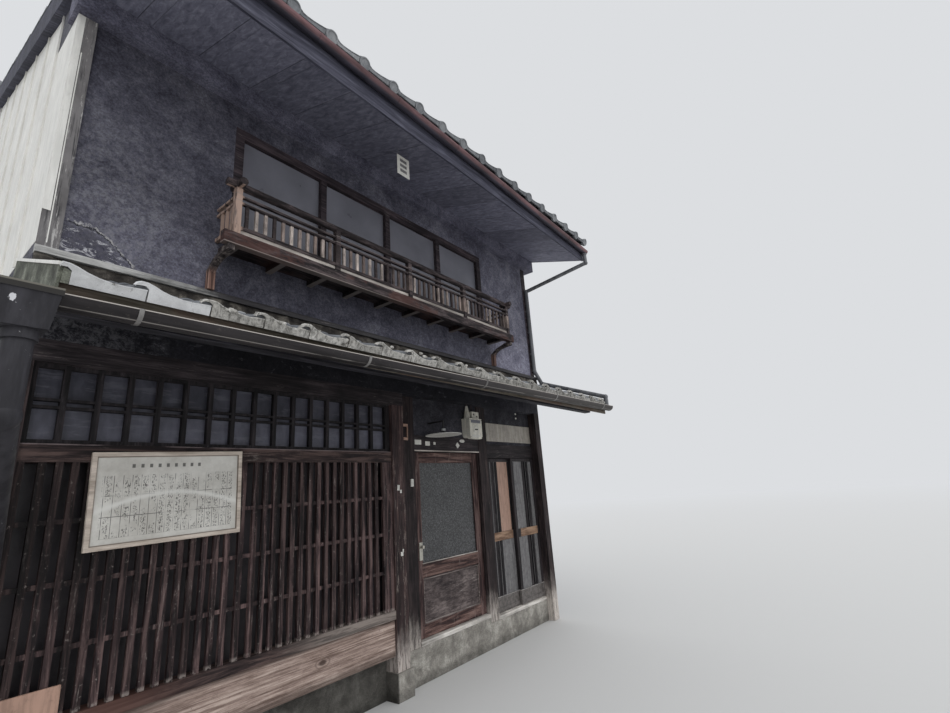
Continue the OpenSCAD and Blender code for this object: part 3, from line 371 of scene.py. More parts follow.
def scuffed(s, patch):
    """Marks the upper wall's left end with a stain, a long crack with pale edges, scratches and
    flecks, and returns the crack."""
    near = s.band(s.x, -1.9, -2.5) * s.band(s.z, 4.5, 3.5)
    stain = near * s.band(patch, 0.44, 0.6)
    s.over(stain * 0.5, 0x77767a)
    wipe = s.band(s.noise(8.0, 8.0, 0.8, "X", 2.5, 1.5), 0.58, 0.66)
    s.over(wipe * s.band(s.z, 4.7, 3.6, 0.25, 0.8) * 0.4, 0x85848b)
    right = s.band(s.x, 1.9, 2.5) * s.band(s.noise(9.0, 5.0, 0.7, "Z", 7.0), 0.5, 0.68)
    s.over(right * 0.3, 0x8a8990)
    wobble = (s.noise(17.0, 6.0, 0.8) - 0.5) * 0.11
    line = s.route(s.x, (-2.68, 3.40), (-2.53, 3.405), (-2.43, 3.34), (-2.3, 3.22))
    off = s.z + wobble - line
    span = s.inside(s.x, -2.66, -2.29, 0.01)
    dark_line = s.inside(off, -0.007, 0.001, 0.0015) * span
    pale_line = s.inside(off, 0.001, 0.014, 0.003) * span
    pale_line = pale_line * s.band(s.noise(30.0, 4.0, 0.7), 0.4, 0.55)
    s.over(dark_line * 0.85, 0x232227)
    s.over(pale_line * 0.8, 0xb5b3b2)
    below = s.band(off, -0.01, -0.03) * s.inside(s.x, -2.69, -2.3, 0.03)
    below = below * s.band(s.z, 3.15, 3.17)
    s.over(below * s.band(patch, 0.4, 0.55) * 0.5, 0x2f2e38)
    scratch = s.noise(26.0, 7.0, 0.85, "X", 2.6, 0.8)
    mark = s.band(scratch, 0.54, 0.58) * below
    s.over(mark * 0.85, 0xc3c2c6)
    fleck = s.band(s.noise(46.0, 5.0, 0.85, warp=0.8), 0.69, 0.73)
    fleck = fleck * (near * 0.8 + 0.12)
    fleck = fleck * s.band(s.z, 3.1, 3.15)
    s.over(fleck, 0xa9a8a8)
    return dark_line


def stone(name, dark, mid, light, damp=0.12, skirt_shadow_x=None):
    """Rough cut stone or old concrete, darker where it meets the street; painted shadow under the
    skirt board darkens it left of a given x.
    """
    s = Shade(name)
    cloud = s.noise(7.0, 8.0, 0.65, warp=0.3)
    speck = s.noise(190.0, 2.0, 0.5)
    s.colour = s.ramp(cloud, (0.38, dark), (0.5, mid), (0.62, light))
    s.tint(s.band(speck, 0.3, 0.7), 0.78, 1.2)
    s.tint(s.band(s.z, 0.0, damp), 0.62, 1.05)
    if skirt_shadow_x:
        # painted shadow under the skirt board, left of the given x and near the front
        cover = s.band(s.x, skirt_shadow_x + 0.01, skirt_shadow_x - 0.01) * s.band(s.y, FRONT + 1.0, FRONT + 0.9)
        s.tint(cover, 1.0, 0.3)
    pits = s.band(s.noise(60.0, 4.0, 0.7), 0.62, 0.7)
    s.over(pits * 0.35, 0x4a4844)
    return s.finish((0.75, 0.92), cloud, ((cloud, 0.006), (speck, 0.001), (pits, -0.002)))


def frosted(name, base, cloud_scale, low, high, pattern=False):
    """Frosted glass with faint dirt; pattern adds the pebbled face of figured glass, with painted
    light and shade on its pebbles.
    """
    s = Shade(name)
    cloud = s.noise(cloud_scale, 4.0, 0.6)
    s.colour = s.shift(base, cloud, low, high)
    dirt = s.band(s.noise(38.0, 6.0, 0.7), 0.58, 0.75)
    s.over(dirt * 0.25, 0x8d8a86)
    bumps = [(s.noise(260.0, 2.0), 0.0003)]
    if pattern:
        pebble = s.node("ShaderNodeTexVoronoi", Vector=s.place, Scale=70.0).outputs["Distance"]
        ripple = s.noise(64.0, 5.0, 0.8)
        # painted light and shade of the pebbles and ripples, over their bumps
        s.tint(s.band(pebble, 0.1, 0.8), 1.35, 0.7)
        s.tint(s.band(ripple, 0.38, 0.62), 0.6, 1.4)
        bumps.append((pebble, 0.002))
    return s.finish((0.26, 0.5), cloud, bumps, Transmission_Weight=0.12, IOR=1.5,
                    Specular_IOR_Level=0.35)


def metal(name, base, worn, metallic=0.35, along="X", second=None):
    """Painted or bare sheet metal with streaks of dirt and worn spots; second is a colour and a
    depth range over which it takes the first one's place."""
    s = Shade(name)
    streak = s.noise(14.0, 5.0, 0.65, along, 8.0)
    spot = s.noise(30.0, 7.0, 0.75)
    s.colour = srgb(base)
    if second:
        code, low, high = second
        s.colour = s.mix(s.band(s.y, FRONT + low, FRONT + high), base, code)
    s.tint(s.band(streak, 0.3, 0.7), 0.65, 1.4)
    s.over(s.band(spot, 0.63, 0.7), worn)
    return s.finish((0.38, 0.62), spot, ((spot, 0.0006),), Metallic=metallic,
                    Specular_IOR_Level=0.4)


def lower_gutter_metal():
    """Dark half-round gutter, lighter towards the right as a painted reflection, with a painted
    highlight along its rim and a pale painted highlight line near its underside.
    """
    s = Shade("lower_gutter_metal")
    streak = s.noise(10.0, 6.0, 0.7, "X", 10.0)
    spot = s.noise(34.0, 7.0, 0.75)
    rim = s.route(s.x, (-PENT_X, PENT_RIM_Z0), (PENT_X, PENT_RIM_Z1))
    below = rim - s.z
    s.colour = s.shift(0x302d2e, s.band(streak, 0.3, 0.7), 0.65, 1.4)
    # painted reflection: lighter towards the right
    s.over(s.band(s.x, -0.6, 1.8, 0.0, 0.5), 0x56524f)
    s.over(s.band(spot, 0.58, 0.68, 0.0, 0.5), 0x5f5853)
    # painted highlight along the rim
    s.over(s.inside(below, -0.001, 0.0045, 0.001), 0xb8b1aa)
    # painted highlight: a pale broken line near the underside
    line = s.inside(below, 0.0475, 0.0505, 0.0008) * s.band(streak, 0.4, 0.5)
    s.over(line * 0.8, 0x9a9590)
    return s.finish((0.45, 0.65), spot, ((spot, 0.0008),), Metallic=0.1)


def hopper_metal():
    """Rain hopper: dull dark sheet, a darker rim, and splashes of pale paint."""
    s = Shade("hopper_metal")
    streak = s.noise(12.0, 5.0, 0.65, "Z", 6.0)
    spot = s.noise(26.0, 6.0, 0.75, warp=0.6)
    s.colour = s.shift(0x37363a, s.band(streak, 0.3, 0.7), 0.72, 1.3)
    s.over(s.inside(s.z, 2.5065, 2.54, 0.001), 0x33312f)
    s.over(s.inside(s.z, 2.528, 2.54, 0.001), 0x6d6a62)
    s.over(s.band(spot, 0.66, 0.7, 0.0, 0.8), 0xa5a4a6)
    away = s.distance((1.0, 0.2, 0.6), MARK_X, FRONT - 1.136, MARK_Z)
    splash = away + (s.noise(50.0, 4.0, 0.7) - 0.5) * 0.03
    s.over(s.band(splash, 0.0095, 0.0075), 0xcfcfd2)
    return s.finish((0.45, 0.65), spot, ((spot, 0.0008),), Metallic=0.15)


def painted(name, base, dirt, share, scale=22.0):
    """Old paint or enamel with grime."""
    s = Shade(name)
    grime = s.noise(scale, 7.0, 0.7, warp=0.4)
    streak = s.noise(34.0, 6.0, 0.75, "Z", 9.0)
    s.colour = s.shift(base, s.noise(4.0, 3.0), 0.86, 1.1)
    s.tint(s.band(streak, 0.35, 0.65), 1.0 - share * 0.8, 1.0 + share * 0.5)
    s.over(s.band(grime, 0.7 - share, 0.82, 0.0, 0.75), dirt)
    return s.finish((0.4, 0.6), grime, ((grime, 0.0008),), Specular_IOR_Level=0.35)


def tiles(name, dark, mid, light, stain=None, coarse=False):
    """Smoked clay: each tile has its own tone, with lichen and pale wear; stain is a colour and
    share of blotches, coarse adds a lumpy face."""
    s = Shade(name)
    cloud = s.noise(16.0, 6.0, 0.65, warp=0.4)
    grit = s.noise(240.0, 2.0)
    blend = s.tone() * 0.4 + cloud * 0.6
    s.colour = s.ramp(blend, (0.28, dark), (0.5, mid), (0.72, light))
    s.tint(grit, 0.9, 1.1)
    wear = s.band(s.noise(45.0, 6.0, 0.75), 0.6, 0.72)
    s.over(wear * 0.35, 0xb9b8b4)
    relief = [(cloud, 0.0015), (grit, 0.0003)]
    if stain:
        code, share = stain
        blot = s.band(s.noise(11.0, 7.0, 0.75, warp=0.8), 0.66 - share, 0.72 - share)
        s.over(blot * 0.8, code)
    if coarse:
        lump = s.noise(34.0, 6.0, 0.8, "Z", 2.0, 0.5)
        s.tint(s.band(lump, 0.34, 0.62), 0.5, 1.22)
        relief.append((lump, 0.01))
    return s.finish((0.5, 0.78), cloud, relief)


def boards(name, axis, width, dark, mid, light):
    """Boards laid side by side: a tone for each, with dark joints."""
    s = Shade(name)
    broad, fine = grain(s, axis)
    s.colour = s.ramp(broad, (0.34, dark), (0.5, mid), (0.68, light))
    across = s.y if axis == "X" else s.x
    s.tint(s.cell_tone(across, width), 0.84, 1.16)
    place = s.fract(across / width)
    edge = 0.004 / width
    joint = s.band(place, 0.0, edge) * s.band(place, 1.0 - edge, 1.0, 1.0, 0.0)
    s.tint(joint, 0.35, 1.0)
    return s.finish((0.6, 0.82), broad, ((joint, 0.003), (broad, 0.001), (fine, 0.0004)))


def olive_boards():
    """Pent roof boards: dark below, darkened as painted shade under the pent roof, and an olive-brown
    fascia along the eave.
    """
    # near-black boards: painted shade under the pent roof
    s, broad, fine = grained("olive_boards", "X", 0x1c1b1f, 0x2d2c31, 0x44434a)
    fascia = s.ramp(broad, (0.4, 0x504a40), (0.5, 0x6b645a), (0.6, 0x867f74))
    fascia = s.mix(s.band(s.noise(2.2, 5.0), 0.45, 0.6, 0.0, 0.5), fascia, 0x6e574c)
    s.over(s.band(s.y, FRONT - 0.955, FRONT - 0.962), fascia)
    return s.finish((0.6, 0.82), broad, ((broad, 0.001), (fine, 0.0004)))


def front_glass():
    """Panes behind the lattices: near-black below the middle rail as painted shade of the dark room
    behind, dull blue-grey above with painted shade towards its top.
    """
    s = Shade("front_glass")
    cloud = s.noise(4.0, 6.0, 0.7, "Z", 2.0)
    # near-black: painted shade of the dark room behind the lattice
    s.colour = s.shift(0x322e31, s.band(cloud, 0.3, 0.7), 0.6, 1.5)
    upper = s.shift(0x53535e, s.band(cloud, 0.3, 0.7), 0.7, 1.35)
    # painted shade: the upper panes darken towards their top, under the pent roof
    upper = s.shift(upper, s.band(s.z, 2.33, 2.27), 0.72, 1.15)
    wipe = s.band(s.noise(24.0, 5.0, 0.7, "X", 6.0), 0.52, 0.62)
    upper = s.mix(wipe * 0.35, upper, 0x777781)
    s.over(s.band(s.z, 1.98, 2.02), upper)
    return s.finish((0.3, 0.5), cloud, ((s.noise(260.0, 2.0), 0.0003),), Transmission_Weight=0.08,
                    IOR=1.5, Specular_IOR_Level=0.3)


def skirt_wood():
    """Bare board under the lattice: pale to the right, stained to the left, with a knot."""
    s = Shade("skirt_wood")
    broad, fine = grain(s, "X")
    lines = s.noise(64.0, 6.0, 0.8, "X", 34.0, 0.2)
    blotch = s.noise(7.0, 8.0, 0.8, "X", 3.0, 0.3)
    blend = lines * 0.72 + blotch * 0.28
    s.colour = s.ramp(blend, (0.41, 0x6a5850), (0.5, 0x9b877d), (0.59, 0xc4b1a6))
    knot = s.distance((0.55, 1.0, 1.0), -0.785, FRONT + 0.02, 0.5)
    s.over(s.band(knot, 0.012, 0.026, 0.85, 0.0), 0x3f302b)
    s.over(s.inside(knot, 0.03, 0.038, 0.004) * 0.5, 0x5d4c45)
    stain = s.band(s.x, -2.5, -1.2, 0.75, 0.1) + blotch * 0.6
    s.over(s.band(stain, 0.55, 1.1, 0.0, 0.85), 0x463936)
    split = s.band(s.noise(9.0, 5.0, 0.7, "X", 30.0), 0.64, 0.67)
    s.over(split * 0.8, 0x2c2321)
    dent = s.band(s.noise(55.0, 4.0, 0.8), 0.63, 0.68)
    s.over(dent * 0.6, 0x3f3430)
    edge = s.z + (blotch - 0.5) * 0.08
    s.over(s.band(edge, 0.59, 0.63) * 0.7, 0x4a3c37)
    s.over(s.band(edge, 0.42, 0.35) * 0.6, 0x433934)
    return s.finish((0.7, 0.9), broad, ((lines, 0.002), (fine, 0.0008), (split, -0.003)))


def lattice_wood():
    """Red-brown slats, each with its own tone and rubbed pale lines, darker towards the left."""
    s, broad, fine = grained("lattice_wood", "Z", 0x1b1516, 0x3a2d2d, 0x5c4b49)
    s.tint(s.cell_tone(s.x, 0.0735, -2.696), 0.6, 1.45)
    s.tint(s.band(s.x, -2.7, -0.9), 0.8, 1.1)
    s.over(scratches(s, "Z", 0.6, 0.02), 0x8f8580)
    dim = s.band(s.x, -1.7, -2.3) * s.band(s.z, 1.0, 1.6)
    s.tint(dim, 1.0, 0.35)
    tip = s.band(s.z, 0.73, 0.708) * s.band(s.noise(30.0, 4.0, 0.7), 0.4, 0.55)
    s.over(tip * 0.55, 0xa69b94)
    rest = s.band(s.noise(48.0, 5.0, 0.8), 0.6, 0.66) * s.band(s.y, FRONT + 0.034, FRONT + 0.03)
    s.over(rest * 0.4, 0x9d938d)
    return s.finish((0.55, 0.8), broad, ((broad, 0.0016), (fine, 0.0008)))


def rail_wood():
    """Middle rail and lattice sill: dark red-brown, the sill bare and pale towards the right."""
    s, broad, fine = grained("rail_wood", "X", 0x1d1718, 0x382d2c, 0x5a4a46)
    s.over(scratches(s, "X", 0.5, 0.0), 0x8f837c)
    bare = s.band(s.x, -1.25, -0.5) * s.band(s.z, 0.9, 0.7)
    bare = bare * s.band(broad, 0.4, 0.55, 0.45, 1.0)
    s.over(bare, 0x8a8079)
    red = s.band(s.x, -1.6, -2.2) * s.band(s.z, 0.9, 0.7)
    s.over(red * 0.6, 0x63453c)
    top = s.inside(s.z, 2.064, 2.072, 0.001) * s.band(broad, 0.42, 0.5)
    s.over(top * 0.6, 0x85797a)
    return s.finish((0.6, 0.82), broad, ((broad, 0.0016), (fine, 0.0008)))


def door_wood():
    """Hinged door: dark red-brown frame, a greyer, scratched and dusty panel below."""
    s, broad, fine = grained("door_wood", "Z", 0x281c1d, 0x483634, 0x6b5753)
    flat = s.noise(30.0, 6.0, 0.7, "X", 14.0, 0.6)
    rails = s.ramp(flat, (0.4, 0x2c1f1f), (0.5, 0x503c38), (0.6, 0x765f58))
    across = s.inside(s.z, 0.866, 1.0) + s.band(s.z, 1.968, 1.972) + s.band(s.z, 0.464, 0.46)
    across = s.calc("MULTIPLY", across, s.inside(s.x, 0.44, 1.34), True)
    s.over(across, rails)
    s.over(scratches(s, "Z", 0.6, 0.02), 0x948882)
    panel = s.inside(s.z, 0.46, 0.866) * s.inside(s.x, 0.45, 1.33)
    smudge = s.noise(3.4, 8.0, 0.75)
    brush = s.noise(44.0, 6.0, 0.8, "X", 5.0, 0.4)
    spread = smudge * 0.5 + brush * 0.5
    dull = s.ramp(spread, (0.4, 0x2c2526), (0.5, 0x4f4645), (0.6, 0x7c716e))
    dull = s.mix(scratches(s, "X", 0.55, 0.03), dull, 0xa59c98)
    s.over(panel, dull)
    s.tint(s.band(s.z, 0.34, 0.6), 1.2, 1.0)
    return s.finish((0.55, 0.8), broad, ((broad, 0.0016), (brush, 0.001), (fine, 0.0006)))


def leaf_metal():
    """Sliding doors: dark frame, tan cross rails on their inner parts, grey kick panels."""
    s = Shade("leaf_metal")
    spot = s.noise(26.0, 6.0, 0.7)
    streak = s.noise(14.0, 6.0, 0.7, "Z", 8.0)
    s.colour = s.shift(0x2e292b, s.band(streak, 0.3, 0.7), 0.6, 1.5)
    s.over(scratches(s, "Z", 0.5, 0.02), 0x8a8480)
    tan = s.ramp(s.noise(20.0, 6.0, 0.7, "X", 6.0), (0.4, 0x6b5242), (0.6, 0xa3866f))
    across = s.inside(s.x, 1.685, 2.088, 0.001) + s.inside(s.x, 2.215, 2.625, 0.001)
    s.over(s.inside(s.z, 1.059, 1.154) * across, tan)
    kick = s.shift(0x686360, s.band(spot, 0.3, 0.7), 0.7, 1.3)
    kick = s.mix(scratches(s, "X", 0.5, 0.03), kick, 0x8e8a89)
    s.over(s.inside(s.z, 0.29, 0.448), kick)
    s.over(s.inside(s.z, 0.449, 0.4575, 0.001), 0xa6a19d)
    return s.finish((0.45, 0.65), spot, ((spot, 0.0006),), Metallic=0.1)


def board_paint():
    """Notice board: bare cream frame with a painted shadow inside its inner edge, and a generic ruled
    sheet with a painted highlight along a soft fold.
    """
    s = Shade("board_paint")
    turned = s.node("ShaderNodeVectorRotate", {"rotation_type": "Y_AXIS"}, Vector=s.place,
                    Angle=BOARD_TURN)
    turned.inputs["Center"].default_value = (BOARD_X, FRONT, BOARD_Z)
    u, _, v = s.split(turned.outputs[0])
    u, v = u - BOARD_X, v - BOARD_Z
    sheet = s.inside(u, 0.03, 0.842) * s.inside(v, 0.03, 0.515)
    cream = s.ramp(s.noise(26.0, 6.0, 0.7, "X", 8.0), (0.38, 0xa6988b), (0.62, 0xd6c9bc))
    paper = s.ramp(s.noise(5.0, 7.0, 0.7), (0.35, 0xbcb8b0), (0.65, 0xdad7d0))
    # uneven columns and rows of a plain form, with smudges where entries would be
    wide = s.inside(u, 0.06, 0.81, 0.001) * s.inside(v, 0.06, 0.41, 0.001)
    column = abs(s.fract(u / COLUMN_W) - 0.5)
    row = abs(s.fract(v / 0.118) - 0.5)
    lines = s.band(column, 0.025, 0.045, 1.0, 0.0), s.band(row, 0.012, 0.02, 1.0, 0.0)
    lines = s.calc("MAXIMUM", *lines)
    broken = s.band(s.noise(9.0, 3.0), 0.4, 0.5, 0.2, 1.0)
    entry = s.band(s.noise(120.0, 3.0, 0.75, "Z", 1.5), 0.52, 0.56)
    entry = entry * s.band(column, 0.16, 0.22)
    entry = entry * s.band(s.noise(11.0, 3.0), 0.42, 0.5)
    ink = s.calc("MAXIMUM", lines * broken, entry) * wide
    head = s.inside(u, 0.2, 0.62, 0.004) * s.inside(v, 0.452, 0.474, 0.002)
    ink = s.calc("MAXIMUM", ink, head * s.band(column, 0.16, 0.2, 1.0, 0.0))
    paper = s.mix(ink * 0.85, paper, 0x464341)
    # painted highlight along a soft fold
    fold = v - s.calc("SINE", u * 3.6) * 0.10
    paper = s.mix(s.inside(fold, 0.185, 0.21, 0.012) * 0.8, paper, 0xe2e0da)
    s.colour = s.mix(sheet, cream, paper)
    # painted shadow along the inside of the frame's edge
    rim = s.inside(u, 0.024, 0.848) * s.inside(v, 0.024, 0.521)
    rim = s.calc("SUBTRACT", rim, sheet, True)
    s.over(rim * 0.7, 0x5f564c)
    return s.finish((0.45, 0.65), s.noise(25.0), ((s.noise(60.0), 0.0004),), Specular_IOR_Level=0.4)


def lamp_paint():
    """Entry lamp: chalky enamel disc, a small white holder, and a sooty arm."""
    s = Shade("lamp_paint")
    grime = s.noise(26.0, 7.0, 0.75)
    s.colour = s.shift(0xcbc9c3, s.band(grime, 0.35, 0.65), 0.75, 1.12)
    s.over(s.band(grime, 0.56, 0.66, 0.0, 0.6), 0x5f5a52)
    s.over(s.band(s.z, 2.262, 2.266), 0x2b292b)
    s.over(s.inside(s.z, 2.284, 2.3095, 0.001), 0xc4c4c4)
    return s.finish((0.4, 0.6), grime, ((grime, 0.0008),), Specular_IOR_Level=0.4)


def knee_wood():
    """Balcony brackets: bare red-brown struts, sooty arms with a pale rubbed edge, the arms darkened
    as painted shade under the balcony floor.
    """
    s, broad, fine = grained("knee_wood", "Z", 0x4a3630, 0x7c5f54, 0xa98c7f)
    # painted shade: the arms under the balcony floor take a darker colour
    arm = s.ramp(s.noise(20.0, 7.0, 0.75), (0.4, 0x242021), (0.52, 0x4b4443), (0.62, 0x8b827b))
    s.over(s.band(s.z, 3.3, 3.37), arm)
    return s.finish((0.65, 0.85), broad, ((broad, 0.0016), (fine, 0.0008)))


def balcony_wood():
    """Old railing wood: sooty, with worn red and bare pale parts, each baluster in its own tone, and
    painted shade under the floor towards the wall.
    """
    s = Shade("balcony_wood")
    broad = s.noise(30.0, 6.0, 0.7, "X", 7.0, 0.5)
    fine = s.noise(140.0, 3.0)
    s.colour = s.ramp(broad, (0.4, 0x1a1617), (0.5, 0x322b2c), (0.6, 0x544a4a))
    s.over(scratches(s, "X", 0.4, 0.0), 0x8f8580)
    bars = s.inside(s.z, 3.625, 3.79, 0.004)
    spread = s.band(s.noise(2.6, 5.0, 0.7), 0.4, 0.6, 0.45, 0.95)
    own = s.cell_tone(s.x, 0.073, -1.828)
    pale = s.ramp(own, (0.15, 0x352d2c), (0.5, 0x82736c), (0.9, 0xc6b9b0))
    pale = s.shift(pale, s.band(s.noise(60.0, 5.0, 0.75, "Z", 5.0), 0.35, 0.65), 0.65, 1.25)
    s.over(bars * spread, pale)
    red = s.inside(s.z, 3.45, 3.552) * s.band(s.noise(3.4, 6.0, 0.75, "X", 2.0), 0.5, 0.6)
    s.over(red * 0.5, 0x593b34)
    edge = s.inside(s.z, 3.456, 3.463, 0.001) * s.band(s.x, 0.4, -1.0)
    s.over(edge * 0.6, 0x9b9089)
    post = s.band(s.x, -1.74, -1.77) * s.band(s.noise(20.0, 5.0, 0.7, "Z", 6.0), 0.38, 0.52)
    s.over(post * s.inside(s.z, 3.55, 3.92), 0xa58d80)
    tops = s.inside(s.z, 3.8165, 3.823, 0.001) + s.inside(s.z, 3.8705, 3.878, 0.001)
    s.over(tops * 0.6, 0x8b827e)
    # painted shade under the balcony floor, towards the wall
    under = s.band(s.y, FRONT - 0.262, FRONT - 0.258) * s.band(s.z, 3.53, 3.52)
    s.tint(under, 1.0, 0.45)
    joist = s.inside(s.z, 3.473, 3.479, 0.001) * s.band(s.y, FRONT - 0.262, FRONT - 0.258)
    s.over(joist * 0.5, 0x8d8580)
    return s.finish((0.65, 0.85), broad, ((broad, 0.0018), (fine, 0.0006)))


# Mesh building


class Piece:
    """Collects closed solids of one detail piece, each with a tone and a material number."""

    def __init__(self, seed=1):
        self.verts, self.faces, self.tones, self.slots = [], [], [], []
        self.luck = random.Random(seed)

    def loft(self, rings, tone, slot=0, hoop=False):
        """A solid through rings of points, with closed ends; a hoop joins the last to the first."""
        base, n, count = len(self.verts), len(rings[0]), len(rings)
        for ring in rings:
            self.verts.extend(tuple(p) for p in ring)
        made = [] if hoop else [tuple(range(base + n - 1, base - 1, -1))]
        for k in range(count if hoop else count - 1):
            a, b = base + k * n, base + ((k + 1) % count) * n
            made += [(a + i, a + (i + 1) % n, b + (i + 1) % n, b + i) for i in range(n)]
        if not hoop:
            end = base + (count - 1) * n
            made.append(tuple(range(end, end + n)))
        self.faces += made
        self.tones += [tone] * len(made)
        self.slots += [slot] * len(made)

    def box(self, x0, x1, d0, d1, z0, z1, tone, slot=0, turn=None, edge=0.0):
        """A block between two depths; edge chamfers its ends, turn is a matrix about its middle."""
        def ring(z, inset):
            xa, xb, ya, yb = x0 + inset, x1 - inset, FRONT + d0 + inset, FRONT + d1 - inset
            return [Vector(p) for p in ((xa, ya, z), (xb, ya, z), (xb, yb, z), (xa, yb, z))]
        rings = [ring(z0, 0), ring(z1, 0)]
        if edge:
            rings = [ring(z0, edge), ring(z0 + edge, 0), ring(z1 - edge, 0), ring(z1, edge)]
        if turn is not None:
            mid = point((x0 + x1) / 2, (d0 + d1) / 2, (z0 + z1) / 2)
            rings = [[turn @ (p - mid) + mid for p in r] for r in rings]
        self.loft(rings, tone, slot)

    def plate(self, x, z, w, h, face, thick, tone, **more):
        """A thin block on a face, given by its middle and its size."""
        self.box(x - w / 2, x + w / 2, face - thick, face - GAP, z - h / 2, z + h / 2, tone, **more)

    def oval(self, x, z, half_w, half_h, depths, sides, tone):
        """A flat oval between two depths."""
        self.loft([[point(x + half_w * math.cos(t), d, z + half_h * math.sin(t))
                    for t in circle(sides)] for d in depths], tone)

    def tube(self, points, radius, sides, tone, slot=0):
        """A round bar through points, mitred at its corners."""
        points = [Vector(p) for p in points]
        rings, side = [], None
        for k, p in enumerate(points):
            before = (p - points[k - 1]).normalized() if k else None
            after = (points[k + 1] - p).normalized() if k + 1 < len(points) else None
            ahead = ((before or after) + (after or before)).normalized()
            if side is None:
                side = ahead.orthogonal().normalized()
            side = (side - ahead * side.dot(ahead)).normalized()
            other = ahead.cross(side)
            r = radius[k] if isinstance(radius, (list, tuple)) else radius
            rings.append([p + (side * math.cos(t) + other * math.sin(t)) * r
                          for t in circle(sides)])
        self.loft(rings, tone, slot)

    def place(self, name, materials, slot, body="house", replaces=(), smooth=35.0):
        """Makes the object, settles its normals and hands it to its body."""
        mesh = bpy.data.meshes.new(name)
        mesh.from_pydata(self.verts, [], self.faces)
        for m in materials:
            mesh.materials.append(m)
        mesh.polygons.foreach_set("material_index", self.slots)
        mesh.attributes.new("tone", "FLOAT", "FACE").data.foreach_set("value", self.tones)
        bm = bmesh.new()
        bm.from_mesh(mesh)
        bmesh.ops.recalc_face_normals(bm, faces=bm.faces)
        bm.to_mesh(mesh)
        bm.free()
        mesh.shade_smooth()
        mesh.set_sharp_from_angle(angle=math.radians(smooth))
        obj = add_object(name, mesh)
        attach(obj, body)
        if replaces:
            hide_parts(*replaces)
        return obj


class Slope:
    """Places points on a roof slope: across, up the slope from the eave, and out of its plane."""

    def __init__(self, eave_d, under, pitch, lift, back=False):
        run = math.hypot(1, pitch)
        self.c, self.s = 1 / run, pitch / run
        self.foot = point(0, eave_d, under(eave_d) + lift)
        self.back = back

    def at(self, x, up, out):
        p = self.foot + Vector((x, up * self.c - out * self.s, up * self.s + out * self.c))
        return Vector((p.x, -p.y, p.z)) if self.back else p

    def bar(self, piece, outline, steps, tone, slot=0):
        """A solid with one outline of across and out, drawn through steps up the slope."""
        piece.loft([[self.at(x, up, out) for x, out in outline] for up in steps], tone, slot)


def tile_wave(u):
    """Height of an S-shaped tile across its width, both from 0 to 1: a roll, then a wide trough."""
    if u < 0.45:
        return 0.5 + 0.5 * math.cos(2 * math.pi * (u - 0.14) / 0.62)
    return 0.55 * (1 - math.cos(math.pi * (u - 0.45) / 1.1))


def s_tile(piece, slope, x0, width, up, length, wave, rise, tone):
    """One S-shaped tile, its lower end resting on the course below."""
    jog = piece.luck.uniform(-0.0018, 0.0018)
    skew = piece.luck.uniform(-0.004, 0.004)

    def ring(s, lift, top_in=0.0):
        def at(u, more):
            out = lift + tile_wave(u) * wave + more
            return slope.at(x0 + jog + skew * s + u * width, up + s, out)
        over = [at(u, S_TILE_T - top_in) for u in WAVE_STEPS]
        return over + [at(u, 0.0) for u in WAVE_STEPS[::-1]]

    piece.loft([ring(0.0, rise, 0.004), ring(0.005, rise), ring(length, 0.0)], tone)


def eave_face(piece, slope, x0, width, wave, lift, tone):
    """Front face of an eave tile: the tile's wave above, a straight edge below."""
    def ring(s, inset):
        over = [slope.at(x0 + u * width, s, lift + tile_wave(u) * wave - inset) for u in WAVE_STEPS]
        return over + [slope.at(x0 + u * width, s, inset) for u in WAVE_STEPS[::-1]]
    piece.loft([ring(0.0, 0.003), ring(0.004, 0), ring(S_TILE_T, 0)], tone)


def disc(piece, slope, x, out_c, radius, thick, tone, front=0.0):
    """Round end cap of a roll, with a raised rim."""
    rings = []
    for s, share in ((0.006, 0.2), (0.006, 0.74), (0.0, 0.8), (0.0, 0.94), (0.004, 1.0),
                     (thick, 1.0), (thick, 0.5)):
        r = radius * share
        rings.append([slope.at(x + r * math.cos(t), s + front, out_c + r * math.sin(t))
                      for t in circle(20)])
    piece.loft(rings, tone)


# Detail pieces


def main_tiles(material):
    """Both slopes of the main roof: courses of S-shaped tiles, eave caps and a verge roll."""
    piece = Piece(11)
    columns, width, courses = 18, 0.3185, 22
    wave, rise, start = 0.040, 0.019, ROOF_X0 + 0.002
    slant = math.hypot(1, ROOF_PITCH)
    run = (RIDGE_D + EAVE_OUT + TILE_DRIP) * slant
    step = (run - 0.06) / courses
    verge_x = ROOF_X0 + columns * width
    mid, half = (verge_x + ROOF_X1) / 2, (ROOF_X1 - verge_x) / 2 - 0.001
    for back in (False, True):
        inset = 0.016 if back else 0.0
        slope = Slope(inset - EAVE_OUT - TILE_DRIP, roof_under, ROOF_PITCH, DECK_T + 0.0025, back)
        reach = run - inset * slant
        for j in range(courses):
            up = j * step
            length = min(step + 0.045, reach - up)
            for i in range(columns):
                tone = piece.luck.betavariate(3, 3)
                s_tile(piece, slope, start + i * width, width * 1.01, up, length, wave, rise, tone)
            rings = []
            for s, lift in ((0.0, 0.004), (0.006, 0.008), (min(step + 0.02, reach - up), 0.0)):
                top = [slope.at(mid + half * math.cos(t), up + s, 0.032 + lift + 0.036 * math.sin(t))
                       for t in arch(8)]
                rings.append(top + [slope.at(x, up + s, 0.0) for x in (mid - half, mid + half)])
            piece.loft(rings, piece.luck.betavariate(3, 2))
        for i in range(columns + 1):
            x0 = start + i * width
            tone = piece.luck.betavariate(3, 3)
            if i < columns:
                eave_face(piece, slope, x0, width * 0.985, wave, 0.030, tone)
            x = min(x0 + 0.0535, ROOF_X1 - 0.0535)
            disc(piece, slope, x, 0.0225, 0.0525, 0.03, tone * 0.6 + 0.25, -0.008)
    piece.place("roof_tile_courses", [material], slot="roof_tile", replaces=("roof_tiles",),
                smooth=50)


